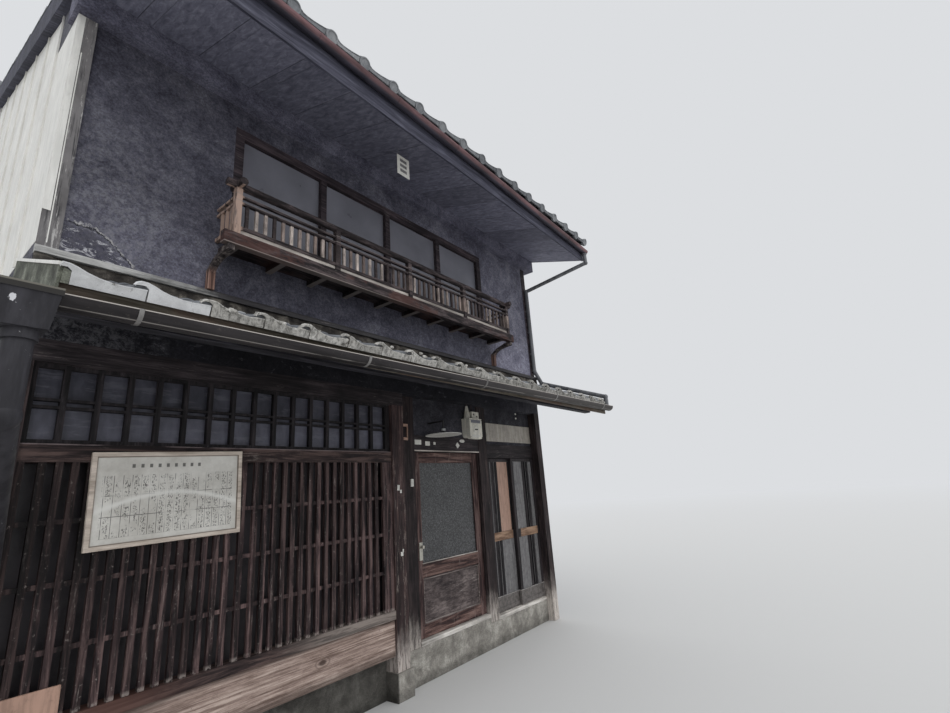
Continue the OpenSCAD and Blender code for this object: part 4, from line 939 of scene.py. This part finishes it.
def hooked_face(piece, slope, step_x, tone, slot, rough):
    """Front of a pent eave tile: a hump that hooks over its left neighbour, then a long trough."""
    over = [(-0.056, 0.065), (-0.048, 0.080), (-0.030, 0.089), (-0.008, 0.088), (0.02, 0.080),
            (0.055, 0.066), (0.1, 0.054), (0.15, 0.048), (0.2, 0.048), (0.24, 0.052), (0.281, 0.054)]
    under = [(0.281, 0.0), (0.19, 0.0), (0.1, 0.0), (0.003, 0.0), (0.002, 0.058), (-0.014, 0.070),
             (-0.036, 0.069)]

    def placed(outline, drop=0.0):
        return [(min(max(step_x + a, -PENT_X - 0.012), PENT_X), b - drop) for a, b in outline]

    if rough:
        over = [(a, b + piece.luck.uniform(-rough, rough * 0.2)) for a, b in over]
    slope.bar(piece, placed(over) + placed(under), (-0.013, 0.02), tone, slot)
    slope.bar(piece, placed(over) + placed(over, 0.005)[::-1], (-0.0145, -0.013), 1.0, slot)


def crumb(piece, slope, x, slot):
    """A lump of mortar at the pent roof's eave."""
    size = piece.luck.uniform(0.008, 0.02)
    up, out = piece.luck.uniform(-0.012, 0.0), piece.luck.uniform(0.03, 0.078)
    rings = []
    for t in arch(5)[1:-1]:
        rings.append([])
        for a in circle(7):
            reach = size * 1.3 * math.sin(t) * math.cos(a) * piece.luck.uniform(0.7, 1.15)
            rings[-1].append(slope.at(x + reach, up + size * 0.6 * math.sin(t) * math.sin(a),
                                      out + size * 0.7 * math.cos(t)))
    piece.loft(rings, piece.luck.uniform(0.2, 1.0), slot)


def pent_tiles(clay, pale, ends):
    """Tiles of the pent roof: two big pale eave tiles at the left, then rougher mortared ones."""
    piece = Piece(12)
    width, first, columns, courses, crumbs = 0.2855, -2.81, 20, 5, 46
    run = (PENT_OUT + PENT_TILE_DRIP) * math.hypot(1, PENT_PITCH)
    step = (run + 0.02) / courses
    slope = Slope(-PENT_OUT - PENT_TILE_DRIP, pent_under, PENT_PITCH, PENT_DECK_T + 0.001)
    for j in range(courses):
        for i in range(columns):
            x0 = max(first - 0.065 + i * width, -PENT_X)
            x1 = first - 0.065 + (i + 1) * width
            tone = piece.luck.betavariate(3, 3)
            length = min(step + 0.045, run - j * step)
            s_tile(piece, slope, x0, x1 - x0, j * step + 0.004, length, 0.038, 0.018, tone)
    for i in range(columns):
        low, high, slot, rough = (0.6, 1.0, 1, 0.0) if i < 2 else (0.3, 0.8, 2, 0.007)
        hooked_face(piece, slope, first + i * width, piece.luck.uniform(low, high), slot, rough)
    for _ in range(crumbs):
        crumb(piece, slope, first + 2 * width + piece.luck.uniform(0.0, 2.9), 2)
    piece.place("pent_tile_courses", [clay, pale, ends], slot="roof_tile",
                replaces=("lower_roof_tiles",), smooth=50)


def foot_mortar(material):
    """Rough mortar between the pent roof's tiles and the ledge over them."""
    piece = Piece(13)
    rings, count = [], 110
    base, top, skin = pent_under(0) + PENT_DECK_T + PENT_TILE_T + 0.001, LEDGE_Z - 0.0005, -0.0005
    for i in range(count + 1):
        x = -HALF_W + 0.002 + i * (2 * HALF_W - 0.004) / count
        low, high = piece.luck.uniform(0.035, 0.06), piece.luck.uniform(0.018, 0.04)
        outline = ((skin, base), (-low, base - low * PENT_PITCH), (-high, LEDGE_Z - 0.012),
                   (-high * 0.8, top), (skin, top))
        rings.append([point(x, d, z) for d, z in outline])
    piece.loft(rings, 0.5)
    piece.place("foot_mortar", [material], slot="dark_plaster", smooth=25)


def ridge_end(piece, side, outer, z0, shoulder):
    """End tile of the ridge at a gable, with a round boss."""
    y0, half, mid_z = FRONT + RIDGE_D, 0.165, 0.06
    foot = -half * ROOF_PITCH + 0.004
    outline = [(-half, foot), (0.0, 0.004), (half, foot), (half - 0.02, shoulder)]
    outline += [(0.135 * math.cos(t), 0.115 + 0.135 * math.sin(t)) for t in arch(14)]
    outline += [(-half + 0.02, shoulder)]
    steps = ((0.045, 1.0), (0.012, 1.0), (0.004, 0.96), (0.004, 0.86), (0.014, 0.82))
    piece.loft([[Vector((side * (outer - inset), y0 + a * k, z0 + mid_z + (b - mid_z) * k))
                 for a, b in outline] for inset, k in steps], 0.6)
    steps = ((0.016, 0.055), (0.006, 0.055), (0.001, 0.046), (0.001, 0.03), (0.008, 0.026))
    piece.loft([[Vector((side * (outer - inset), y0 + r * math.cos(t), z0 + 0.115 + r * math.sin(t)))
                 for t in circle(20)] for inset, r in steps], 0.45)


def ridge(material, mortar):
    """Ridge of flat courses under round caps, with an end tile at each gable."""
    piece = Piece(14)
    top, y0 = DECK_T + TILE_T + 0.0003, FRONT + RIDGE_D
    z0 = roof_under(RIDGE_D) + top
    half, course_h, courses, step_in, cap_r, count = 0.125, 0.045, 3, 0.012, 0.078, 21
    first, last = ROOF_X0 + 0.047, ROOF_X1 - 0.047
    low, w = roof_under(RIDGE_D - half) + top - 0.075, half - step_in
    bed = ((-w, low), (w, low), (w, z0 + 0.004), (-w, z0 + 0.004))
    piece.loft([[Vector((x, y0 + a, z)) for a, z in bed] for x in (first, last)], 0.5, 1)
    length = (last - first) / count
    for c in range(courses):
        w = half - c * step_in
        za, zb = z0 + c * course_h + 0.005, z0 + (c + 1) * course_h
        for i in range(count):
            xa = first + i * length + 0.5 * length * (c % 2)
            xb = min(last, xa + length - 0.003)
            jog = piece.luck.uniform(-0.002, 0.002)
            rings = []
            for x, inset in ((xa, 0.003), (xa + 0.003, 0.0), (xb - 0.003, 0.0), (xb, 0.003)):
                corners = ((-1, 0.0, za + inset), (1, 0.0, za + inset), (1, -0.004, zb - inset),
                           (-1, 0.004, zb - inset))
                rings.append([Vector((x, y0 + jog + s * (w - inset) + e, z)) for s, e, z in corners])
            piece.loft(rings, piece.luck.betavariate(3, 3))
    zc = z0 + courses * course_h
    for i in range(count):
        xa = first + i * length
        steps = ((xa, cap_r - 0.004), (xa + 0.004, cap_r + 0.002), (xa + 0.03, cap_r + 0.002),
                 (xa + 0.034, cap_r - 0.007), (min(last, xa + length - 0.001), cap_r - 0.007))
        rings = [[Vector((x, y0 + r * math.cos(t), zc + r * math.sin(t) - 0.004))
                  for t in arch(12)] for x, r in steps]
        piece.loft(rings, piece.luck.betavariate(3, 3))
    for side, outer in ((-1, -ROOF_X0), (1, ROOF_X1)):
        ridge_end(piece, side, outer, z0, courses * course_h - 0.03)
    piece.place("ridge_tiles", [material, mortar], slot="roof_tile", replaces=("roof_ridge",),
                smooth=40)


def soffits(material, pent_material):
    """Boards under both eaves, running up the slope, and boards under the pent roof."""
    piece = Piece(15)
    steps = (0.004, (EAVE_OUT - 0.094) * math.hypot(1, ROOF_PITCH))
    count = 14
    x0, x1 = ROOF_X0 + 0.028, ROOF_X1 - 0.028
    width = (x1 - x0) / count
    for back in (False, True):
        slope = Slope(-EAVE_OUT, roof_under, ROOF_PITCH, 0.0, back)
        for i in range(count):
            a, b = x0 + i * width + 0.001, x0 + (i + 1) * width - 0.001
            out = -0.008 - 0.0015 * (i % 2)
            outline = ((a, -0.001), (b, -0.001), (b, out), (a, out))
            slope.bar(piece, outline, steps, piece.luck.random())
    piece.place("eave_soffits", [material], slot="dark_timber", smooth=30)
    piece = Piece(16)
    slope = Slope(-PENT_OUT, pent_under, PENT_PITCH, 0.0)
    first, last = (d * math.hypot(1, PENT_PITCH) for d in (0.275, PENT_OUT - 0.004))
    bays, boards_up, arm_w = 5, 6, 0.07
    for i in range(boards_up):
        a = first + i * (last - first) / boards_up
        b = a + (last - first) / boards_up - 0.004
        tone = piece.luck.random()
        for k in range(bays):
            xa = -HALF_W + k * (2 * HALF_W - arm_w) / bays + arm_w + 0.001
            xb = -HALF_W + (k + 1) * (2 * HALF_W - arm_w) / bays - 0.001
            outline = ((a, -0.001), (b, -0.001), (b, -0.008), (a, -0.013))
            piece.loft([[slope.at(x, up, out) for up, out in outline] for x in (xa, xb)], tone)
    piece.place("pent_soffit", [pent_material], slot="dark_timber", smooth=30)


def gutter_straps(name, places, material, slot, d, r, ends, rims):
    """Straps that wrap a gutter which slopes from one rim height to the other."""
    piece = Piece()
    thick, half, air = 0.0025, 0.010, 0.0004
    (x0, x1), (z0, z1) = ends, rims
    for x in places:
        rings = []
        for t in arch(16):
            t += math.pi
            ring = []
            for a, reach in ((-half, r), (half, r), (half, r + thick), (-half, r + thick)):
                rim = z0 + (z1 - z0) * (x + a - x0) / (x1 - x0)
                reach += air
                ring.append(point(x + a, d + reach * math.cos(t), rim + reach * math.sin(t)))
            rings.append(ring)
        piece.loft(rings, 0.5)
    piece.place(name, [material], slot=slot, smooth=60)


def pent_verges(board, rim):
    """Boards that close both ends of the pent roof, each with a thin pale tile edge on top."""
    piece = Piece()
    slope = Slope(-PENT_OUT, pent_under, PENT_PITCH, 0.0)
    low, high = -0.036, (PENT_OUT - 0.002) * math.hypot(1, PENT_PITCH)
    for side in (-1, 1):
        inner, outer = side * (PENT_X + 0.0005), side * (PENT_X + 0.013)
        for a, b, c, slot in ((0.004, 0.118, 0.0, 0), (0.1185, 0.134, 0.006, 1)):
            edge = outer + side * c
            outline = ((inner, a), (edge, a), (edge, b), (inner, b))
            slope.bar(piece, outline, (low, low + 0.004, high), 0.6, slot)
    end = Slope(-PENT_OUT - PENT_TILE_DRIP, pent_under, PENT_PITCH, PENT_DECK_T + 0.001)
    outline = ((-PENT_X, 0.0), (-2.809, 0.0), (-2.809, 0.056), (-PENT_X, 0.064))
    end.bar(piece, outline, (-0.012, 0.02), 0.5)
    piece.place("pent_verges", [board, rim], slot="dark_timber", smooth=30)


def eave_tag(white, dark):
    """Small bare plate that hangs under the eave on two wire hooks."""
    piece = Piece()
    x0, x1, d, z0, z1 = -0.482, -0.325, -0.62, 4.602, 4.815
    piece.box(x0, x1, d - 0.004, d, z0, z1, 0.6, 0, edge=0.001)
    for k in range(3):
        zc = z1 - 0.05 - 0.055 * k
        piece.box(x0 + 0.035, x1 - 0.035, d - 0.0046, d - 0.0039, zc - 0.016, zc + 0.016, 0.5, 1)
    for x in (x0 + 0.02, x1 - 0.02):
        top = roof_under(d - 0.002) - 0.0075
        hook = [point(x, d - 0.002, z) for z in (z1 - 0.004, top)]
        piece.tube(hook, 0.0015, 8, 0.3, 1)
    piece.place("eave_tag", [white, dark], slot="board_panel")


def side_sheet(cream, weathered):
    """Sheet metal over the left party wall's upper part, turned over the corner board, and the
    right corner's board."""
    piece = Piece(30)
    low, high, skin, bay, bays = 3.205, 4.890, 0.0022, 0.464, 16
    edges = [-0.0242, 0.452] + [0.452 + bay * (k + 1) for k in range(bays)]
    edges[-1] = BACK - 0.004
    for a, b in zip(edges, edges[1:]):
        inner = [min(d, BACK - d) for d in (a, b)]
        tops = [high if d < 0.13 else roof_under(d) - 0.012 for d in inner]
        if a < 0:
            tops[1] = high
        outline = ((a, low), (b - 0.003, low), (b - 0.003, tops[1]), (a, tops[0]))
        rings = [[point(x, d, z) for d, z in outline] for x in (-HALF_W - skin, -HALF_W - 0.0004)]
        piece.loft(rings, piece.luck.uniform(0.3, 0.9))
        if a > 0:
            piece.box(-HALF_W - 0.014, -HALF_W - skin + 0.0003, a - 0.007, a + 0.004, low,
                      min(tops) - 0.004, 0.5)
    piece.box(-HALF_W - skin, -2.747, -0.0246, -0.0224, 3.42, high, 0.95)
    piece.place("side_sheet", [cream], slot="white_enamel", smooth=30)
    strip = Piece()
    strip.box(2.69, HALF_W - 0.001, -0.006, -0.0003, 3.20, high, 0.4, 0, edge=0.001)
    strip.box(-2.742, -2.736, -0.0232, -0.0222, 3.215, 4.6, 0.8, 1)
    strip.place("corner_strips", [weathered, cream], slot="pale_timber", smooth=30)


def door_trim(pale, worn, salmon, grey, white, brown):
    """Beads, strips and small fittings of the doors."""
    beads = Piece()
    d0, x0, x1 = 0.140, 0.452, 1.330
    for z, slot in ((0.996, 0), (0.852, 2)):
        beads.box(x0 - 0.01, x1 + 0.01, d0 - 0.0045, d0 + 0.001, z, z + 0.010, 0.7, slot, edge=0.002)
    for x in (x0, x1 - 0.009):
        beads.box(x, x + 0.009, d0 + 0.001, d0 + 0.0115, 0.468, 0.85, 0.5, 2)
    beads.box(x0, x1, d0 + 0.001, d0 + 0.0115, 0.466, 0.475, 0.7, 2)
    beads.box(0.358, 0.372, d0 - 0.003, d0 + 0.0005, 1.25, 1.345, 0.5, 1)
    beads.place("door_beads", [pale, white, worn], body="hinged_leaf", slot="pale_timber")

    def strips(piece, d, heights, *rows):
        for z0, z1 in heights:
            for x0, x1, thick, tone, slot in rows:
                piece.box(x0, x1, d - thick, d - 0.0003, z0, z1, tone, slot)

    left, right = Piece(), Piece()
    lower, upper = (0.46, 1.056), (1.156, 1.988)
    strips(left, 0.150, (upper,), (1.850, 2.076, 0.006, 0.5, 0), (2.079, 2.117, 0.008, 0.2, 1))
    strips(left, 0.150, (lower, upper), (1.672, 1.742, 0.005, 0.8, 2),
           (1.745, 1.781, 0.009, 0.3, 1), (1.806, 1.847, 0.009, 0.3, 1))
    strips(right, 0.114, (lower, upper), (2.540, 2.612, 0.006, 0.8, 0),
           (2.155, 2.168, 0.009, 0.3, 1), (2.412, 2.452, 0.009, 0.3, 1), (2.480, 2.520, 0.009, 0.3, 1))
    left.place("left_leaf_strips", [salmon, brown, grey], body="left_sliding_leaf",
               slot="grey_panel")
    right.place("right_leaf_strips", [grey, brown], body="right_sliding_leaf", slot="grey_panel")


def front_trim(pale, white, salmon):
    """Small plates, frames and strips of the ground floor."""
    lintel, face = Piece(), 0.100
    for x, z, w, h in ((0.40, 2.185, 0.095, 0.05), (0.545, 2.175, 0.07, 0.045),
                       (0.655, 2.18, 0.03, 0.03)):
        lintel.plate(x, z, w, h, face, 0.004, 0.6, edge=0.0015)
    turn = Matrix.Rotation(math.radians(45), 3, "Y")
    lintel.plate(1.045, 2.17, 0.05, 0.05, face, 0.004, 0.7, turn=turn, edge=0.0015)
    lintel.oval(1.13, 2.22, 0.045, 0.018, (face - GAP, face - 0.004), 18, 0.7)
    lintel.place("lintel_plates", [white], slot="white_enamel")

    def boxed(name, material, slot, tone, edge, *boxes):
        piece = Piece()
        for sides in boxes:
            piece.box(*sides, tone, edge=edge)
        piece.place(name, [material], slot=slot)

    boxed("door_head_strip", pale, "pale_timber", 0.6, 0.0015,
          (0.342, 1.438, 0.094, 0.0997, 2.092, 2.106))
    boxed("jamb_frame", salmon, "brown_timber", 0.6, 0.002,
          (0.110, 0.245, 0.083, 0.0947, 2.335, 2.362), (0.110, 0.245, 0.083, 0.0947, 2.198, 2.225),
          (0.236, 0.245, 0.083, 0.0947, 2.225, 2.335), (0.110, 0.117, 0.083, 0.0947, 2.225, 2.335))

    tags = Piece()
    for x, z, w, h in ((0.012, 1.735, 0.028, 0.05), (0.042, 1.70, 0.02, 0.03),
                       (0.035, 1.15, 0.03, 0.034), (0.05, 1.175, 0.014, 0.03)):
        turn = Matrix.Rotation(0.2 * (x * 30 % 1), 3, "Y")
        tags.plate(x, z, w, h, 0.0, 0.0025, 0.7, turn=turn)
    tags.place("post_tags", [white], slot="white_enamel")

    switch = Piece()
    switch.box(0.265, 0.30, 0.081, 0.0947, 1.74, 1.815, 0.6, edge=0.004)
    switch.box(0.274, 0.291, 0.076, 0.081, 1.765, 1.79, 0.6, edge=0.002)
    switch.place("jamb_switch", [white], slot="white_enamel")

    boxed("low_plate", salmon, "board_panel", 0.5, 0.002,
          (-2.680, -2.372, 0.004, 0.0196, 0.704, 0.853))

    buttons = Piece()
    for z in (2.572, 2.632):
        buttons.oval(2.345, z, 0.016, 0.012, (0.1098, 0.1038), 14, 0.7)
    buttons.place("wall_buttons", [white], slot="white_enamel")


def meter_trim(white, glass, dark, olive):
    """Window, dial ring, ribs, cover screws and leads of the electric meter."""
    piece = Piece()
    x, z, face = 1.280, 2.348, -0.006
    outline = ((0.034, -0.0052), (0.046, -0.0052), (0.049, -GAP), (0.037, -GAP))
    rings = [[point(x + r * math.cos(t), face + e, z + r * math.sin(t)) for r, e in outline]
             for t in circle(28)]
    piece.loft(rings, 0.6, hoop=True)
    piece.box(x - 0.03, x + 0.03, face - 0.0054, face - 0.005, z - 0.006, z + 0.008, 0.3, 2)
    piece.box(1.19, 1.37, face - 0.002, face - GAP, 2.425, 2.462, 0.8, 1, edge=0.001)
    piece.box(1.20, 1.36, face - 0.0016, face - GAP, 2.262, 2.29, 0.8, 0, edge=0.0007)
    for k in range(9):
        z = 2.275 + k * 0.022
        piece.box(1.1585, 1.1617, 0.006, 0.042, z, z + 0.008, 0.7, 0)
    for x, z in ((1.175, 2.262), (1.385, 2.262), (1.175, 2.46), (1.385, 2.46)):
        piece.tube([point(x, face - 0.003, z), point(x, face - GAP, z)], 0.005, 8, 0.2, 2)
    piece.place("meter_face", [white, glass, dark], slot="meter_case")

    leads = Piece()
    for x, z in ((1.295, 2.533), (1.353, 2.511)):
        leads.tube([point(x, 0.027, z), point(x, 0.0255, z)], 0.0105, 12, 0.1)
    for radius, path in ((0.011, ((1.212, 0.066, 2.632), (1.212, 0.066, 2.72), (1.20, 0.08, 2.80),
                                  (1.20, 0.09, 2.86))),
                         (0.008, ((1.30, 0.066, 2.566), (1.30, 0.066, 2.70), (1.315, 0.085, 2.78),
                                  (1.315, 0.09, 2.86)))):
        leads.tube([point(*place) for place in path], radius, 10, 0.3)
    leads.place("meter_leads", [olive], slot="dark_gutter")


def balcony_trim(pale):
    """Pale strips under the balcony's bottom rail."""
    piece = Piece(29)
    x0, x1, bays = -1.7915, 1.7115, 4
    step = (x1 - x0) / bays
    for i in range(bays):
        xa, xb = x0 + i * step + 0.0235, x0 + (i + 1) * step - 0.0235
        piece.box(xa, xb, -0.2965, -0.2835, 3.5484, 3.5896, 0.4 + 0.5 * piece.luck.random())
    piece.place("balcony_strip", [pale], slot="pale_timber")


# Scene


def set_camera():
    """The photograph's place and direction, solved from its upright, frontage and depth lines."""
    data = bpy.data.cameras.new("camera")
    data.lens, data.sensor_width = 18.345, 36.0
    data.clip_start, data.clip_end = 0.05, 200.0
    cam = add_object("camera", data)
    right, up = (0.60942, -0.78972, -0.07032), (-0.17035, -0.21705, 0.96118)
    ahead = (0.77433, 0.57378, 0.26680)
    turn = Matrix((right, up, tuple(-v for v in ahead))).transposed()
    cam.matrix_world = Matrix.Translation((-3.285, -7.390, 1.656)) @ turn.to_4x4()
    bpy.context.scene.camera = cam


def add_object(name, data):
    """A new object in the scene's own collection."""
    made = bpy.data.objects.new(name, data)
    bpy.context.scene.collection.objects.link(made)
    return made


def set_light():
    """Even overcast light, a soft high lamp from the street side, and a plain pale background."""
    world = bpy.data.worlds.new("sky")
    sky = Tree(world)
    back = sky.tree.nodes["Background"]
    sky.feed(back.inputs["Color"], (0.93, 0.96, 1.0))
    sky.feed(back.inputs["Strength"], 0.98)
    seen = sky.node("ShaderNodeBackground", Color=srgb(BACKGROUND))
    path = sky.node("ShaderNodeLightPath").outputs
    shown = sky.calc("MAXIMUM", path["Is Camera Ray"], path["Is Glossy Ray"])
    shown = sky.calc("MAXIMUM", shown, path["Is Transmission Ray"])
    sky.surface(shown, back.outputs[0], seen.outputs[0], "World Output")
    bpy.context.scene.world = world
    lamp = bpy.data.lights.new("high_lamp", "SUN")
    lamp.energy, lamp.angle = 0.95, math.radians(50)
    holder = add_object("high_lamp", lamp)
    holder.rotation_euler = (math.radians(38), 0, math.radians(-28))
    bpy.context.scene.view_settings.view_transform = "Standard"


def set_floor():
    """A wide pale floor that fades into the background with distance."""
    mesh = bpy.data.meshes.new("floor")
    reach, rings, sides, level = 90.0, 6, 48, -0.002
    verts = [(0, 0, level)]
    for k in range(1, rings + 1):
        r = reach * (k / rings) ** 2
        verts += [(r * math.cos(t), r * math.sin(t), level) for t in circle(sides)]
    faces = [(0, 1 + i, 1 + (i + 1) % sides) for i in range(sides)]
    for k in range(rings - 1):
        a, b = 1 + k * sides, 1 + (k + 1) * sides
        faces += [(a + i, b + i, b + (i + 1) % sides, a + (i + 1) % sides) for i in range(sides)]
    mesh.from_pydata(verts, [], faces)
    s = Shade("floor_pale")
    s.colour = srgb(0xc9c8c6)
    s.finish((0.8, 0.9))
    far = s.node("ShaderNodeVectorMath", {"operation": "LENGTH"})
    s.feed(far.inputs[0], s.place)
    glow = s.node("ShaderNodeEmission", Color=srgb(BACKGROUND), Strength=1.0)
    path = s.node("ShaderNodeLightPath").outputs
    away = s.band(far.outputs["Value"], 8.0, 45.0) * path["Is Camera Ray"]
    s.surface(away, s.out.outputs[0], glow.outputs[0], "Material Output")
    mesh.materials.append(s.mat)
    add_object("floor", mesh)


def dress(nodes):
    """Gives every CAD node its material and adds the detail pieces."""
    # painted shade below z 3.12 under the pent roof, and under the balcony
    wall = plaster("front_plaster", 0x3c3b46, 0x5a5965, 0x7a7983, scuffs=True, shade_z=3.12,
                   across=(0.82, 1.3))
    # a darker copy of the front plaster: painted shade over the doors, under the pent roof
    shaded_low_wall = plaster("low_plaster_shaded", 0x201f24, 0x323137, 0x4a494f, 2.2, 2.7, (0.85, 1.2))
    side_wall = plaster("side_plaster", 0x47474e, 0x64646b, 0x82828a, 0.0, 2.6, (0.84, 1.3),
                        bands=True)
    dark = wood("dark_wood", "Z", 0x191516, 0x2e2627, 0x4a3f3e, foot=(0.14, 0.6, 0xd0c7be))
    post = wood("post_wood", "Z", 0x231b1c, 0x3d3030, 0x5e4b48, foot=(0.12, 0.6, 0xccc2ba),
                worn=(0x6d5b56, 0.05), rubbed=(0xa3978f, 0.6, 0.04))
    beam = wood("beam_wood", "X", 0x1a1719, 0x2d282a, 0x453e40)
    bars = wood("bar_wood", "Z", 0x131213, 0x221f21, 0x363133, rubbed=(0x6d686c, 0.4, 0.0))
    window = wood("window_wood", "X", 0x1c181b, 0x312a2e, 0x4b4144, worn=(0x553b35, 0.05))
    ledge = wood("ledge_wood", "X", 0x5b5a58, 0x807f7d, 0xa9a8a5, gloss=(0.65, 0.85), lift=0.2,
                 far=(-2.15, -1.65, 0x292629))
    corner = wood("corner_wood", "Z", 0x1f1e1f, 0x3d3c3d, 0x6d6a6a, gloss=(0.65, 0.85), lift=0.3,
                  rubbed=(0xc4c1be, 0.7, 0.06))
    pale = wood("pale_wood", "X", 0x827a73, 0xa39b94, 0xbdb6af, gloss=(0.6, 0.85))
    sill = wood("sill_wood", "X", 0x8f8983, 0xbab4ad, 0xd6d1cb, gloss=(0.6, 0.85))
    worn = wood("worn_bead", "X", 0x4f4644, 0x766c68, 0x9b918c)
    earth = stone("packed_earth", 0x6a6358, 0x7b7468, 0x8d867a)
    planks = boards("floor_planks", "X", 0.12, 0x5f4833, 0x7b5f45, 0x957858)
    deck = boards("deck_boards", "X", 0.118, 0x2a2a33, 0x444450, 0x5f5f6b)
    pent_deck = olive_boards()
    eave = boards("eave_wood", "Y", 0.415, 0x5c5c6a, 0x747483, 0x8f8f9d)
    # near-black: painted shade under the pent roof
    pent_soffit = wood("pent_soffit_shaded_wood", "X", 0x1c1b1f, 0x2d2c31, 0x46454b, lift=0.1)
    clay = tiles("smoked_clay", 0x4f5155, 0x727477, 0x98999b)
    pale_clay = tiles("pale_clay", 0x9c9c9b, 0xbdbdbd, 0xdadada, stain=(0x66645a, 0.06))
    rough_clay = tiles("rough_clay", 0x7a7872, 0xa7a49e, 0xcecbc5, stain=(0x4e4b46, 0.1),
                       coarse=True)
    mortar = stone("ridge_mortar", 0x8b8984, 0xa9a7a2, 0xc4c2bd, damp=0.01)
    soil = stone("foot_mortar", 0x1f1c1b, 0x3b3733, 0x67625b, damp=0.01)
    verge = stone("verge_board", 0x3f4039, 0x5a5c53, 0x7d7f74, damp=0.01)
    # base stones with painted shadow under the skirt board, left of x -0.06
    rock = stone("base_stone", 0x74706a, 0x8b8780, 0xa7a39b, skirt_shadow_x=-0.06)
    copper = metal("gutter_copper", 0x6f5355, 0x8a7370, second=(0x3f3c45, -1.008, -0.985))
    grey_pipe = metal("pipe_grey", 0x5f6063, 0x8b8987, metallic=0.1, along="Z")
    strap = metal("strap_grey", 0x777573, 0x4b4947, metallic=0.2, along="Z")
    bright = metal("worn_metal", 0xa5a299, 0x6f6a60, metallic=0.6, along="Z")
    white = painted("old_white", 0xcfcdc6, 0x77726a, 0.12)
    sheet = painted("cream_sheet", 0xdedcd6, 0xa9a59c, 0.1, scale=9.0)
    cream = painted("meter_cream", 0xdad6ca, 0x5f5a4f, 0.2)
    beige = painted("panel_beige", 0xa69f95, 0x6d675f, 0.25)
    salmon = painted("salmon_panel", 0xab8a79, 0x6d564b, 0.2)
    grey = painted("grey_strip", 0x777575, 0x434143, 0.32)
    leaf, balcony = leaf_metal(), balcony_wood()
    window_glass = frosted("upper_glass", 0x72727a, 2.0, 0.7, 1.35)
    # a lighter, bluer copy of the front plaster: painted light where little light reaches under the
    # eave
    plates = plaster("plate_plaster_lit", 0x43424f, 0x62616f, 0x7f7e8d, levels=(1.0, 1.0))
    given = {
        "ground_floor": earth, "upper_floor": planks, "base_stones": rock,
        "left_party_wall": side_wall, "right_party_wall": side_wall, "back_wall": side_wall,
        "main_post": post, "front_posts": dark, "front_beam": beam, "lattice_rails": rail_wood(),
        "front_lattice": lattice_wood(), "transom_lattice": bars, "front_glazing": front_glass(),
        "skirt_board": skirt_wood(), "notice_board": board_paint(), "door_lintels": beam,
        "over_door_wall": shaded_low_wall, "transom_panel": beige, "door_sills": sill,
        "hinged_door": door_wood(),
        "hinged_door_glass": frosted("figured_glass", 0x4b4b4c, 3.0, 0.6, 1.4, True),
        "hinged_door_fittings": bright, "door_hinges": bright,
        "sliding_door_left": leaf, "sliding_panes_left": grey,
        "sliding_door_right": leaf, "sliding_panes_right": grey,
        "electric_meter": cream, "entry_lamp": lamp_paint(),
        "lower_roof": pent_deck, "lower_roof_tiles": clay, "lower_gutter": lower_gutter_metal(),
        "rain_hopper": hopper_metal(), "foot_ledge": ledge,
        "upper_front_wall": wall, "corner_board": corner, "window_frame": window,
        "window_glass": window_glass, "balcony_floor": balcony, "balcony_railing": balcony,
        "balcony_brackets": knee_wood(), "wall_plates": plates,
        "roof_deck": deck, "roof_tiles": clay, "roof_ridge": clay, "eave_gutters": copper,
        "upper_downpipe": grey_pipe, "back_joinery": dark,
        "back_glass": frosted("back_glass", 0x66666d, 3.0, 0.82, 1.2),
    }
    for name, node in nodes.items():
        node.data.materials.clear()
        node.data.materials.append(given[name])
    main_tiles(clay)
    pent_tiles(clay, pale_clay, rough_clay)
    foot_mortar(soil)
    ridge(clay, mortar)
    soffits(eave, pent_soffit)
    pent_verges(verge, sheet)
    eave_tag(white, grey)
    gutter_straps("lower_gutter_straps", (-2.557, -1.251, 0.045, 1.311, 2.55), strap,
                  "dark_gutter", PENT_GUTTER_D, PENT_GUTTER_R, (-PENT_X, PENT_X),
                  (PENT_RIM_Z0, PENT_RIM_Z1))
    gutter_straps("upper_gutter_straps", (-2.4, -1.6, -0.8, 0.0, 0.8, 1.6, 2.4), copper,
                  "copper_gutter", EAVE_GUTTER_D, EAVE_GUTTER_R, (ROOF_X0, ROOF_X1),
                  (EAVE_RIM_Z0, EAVE_RIM_Z1))
    side_sheet(sheet, window)
    door_trim(pale, worn, salmon, grey, white, bars)
    front_trim(pale, white, salmon)
    meter_trim(white, window_glass, bars, window)
    balcony_trim(pale)


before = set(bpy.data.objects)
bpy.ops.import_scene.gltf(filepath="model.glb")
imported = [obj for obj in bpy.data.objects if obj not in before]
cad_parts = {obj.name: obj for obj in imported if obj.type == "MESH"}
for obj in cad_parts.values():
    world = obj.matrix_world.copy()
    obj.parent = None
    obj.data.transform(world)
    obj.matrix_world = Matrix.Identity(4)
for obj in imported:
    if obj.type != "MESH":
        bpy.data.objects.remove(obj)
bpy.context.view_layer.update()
set_camera()
set_light()
set_floor()
dress(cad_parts)
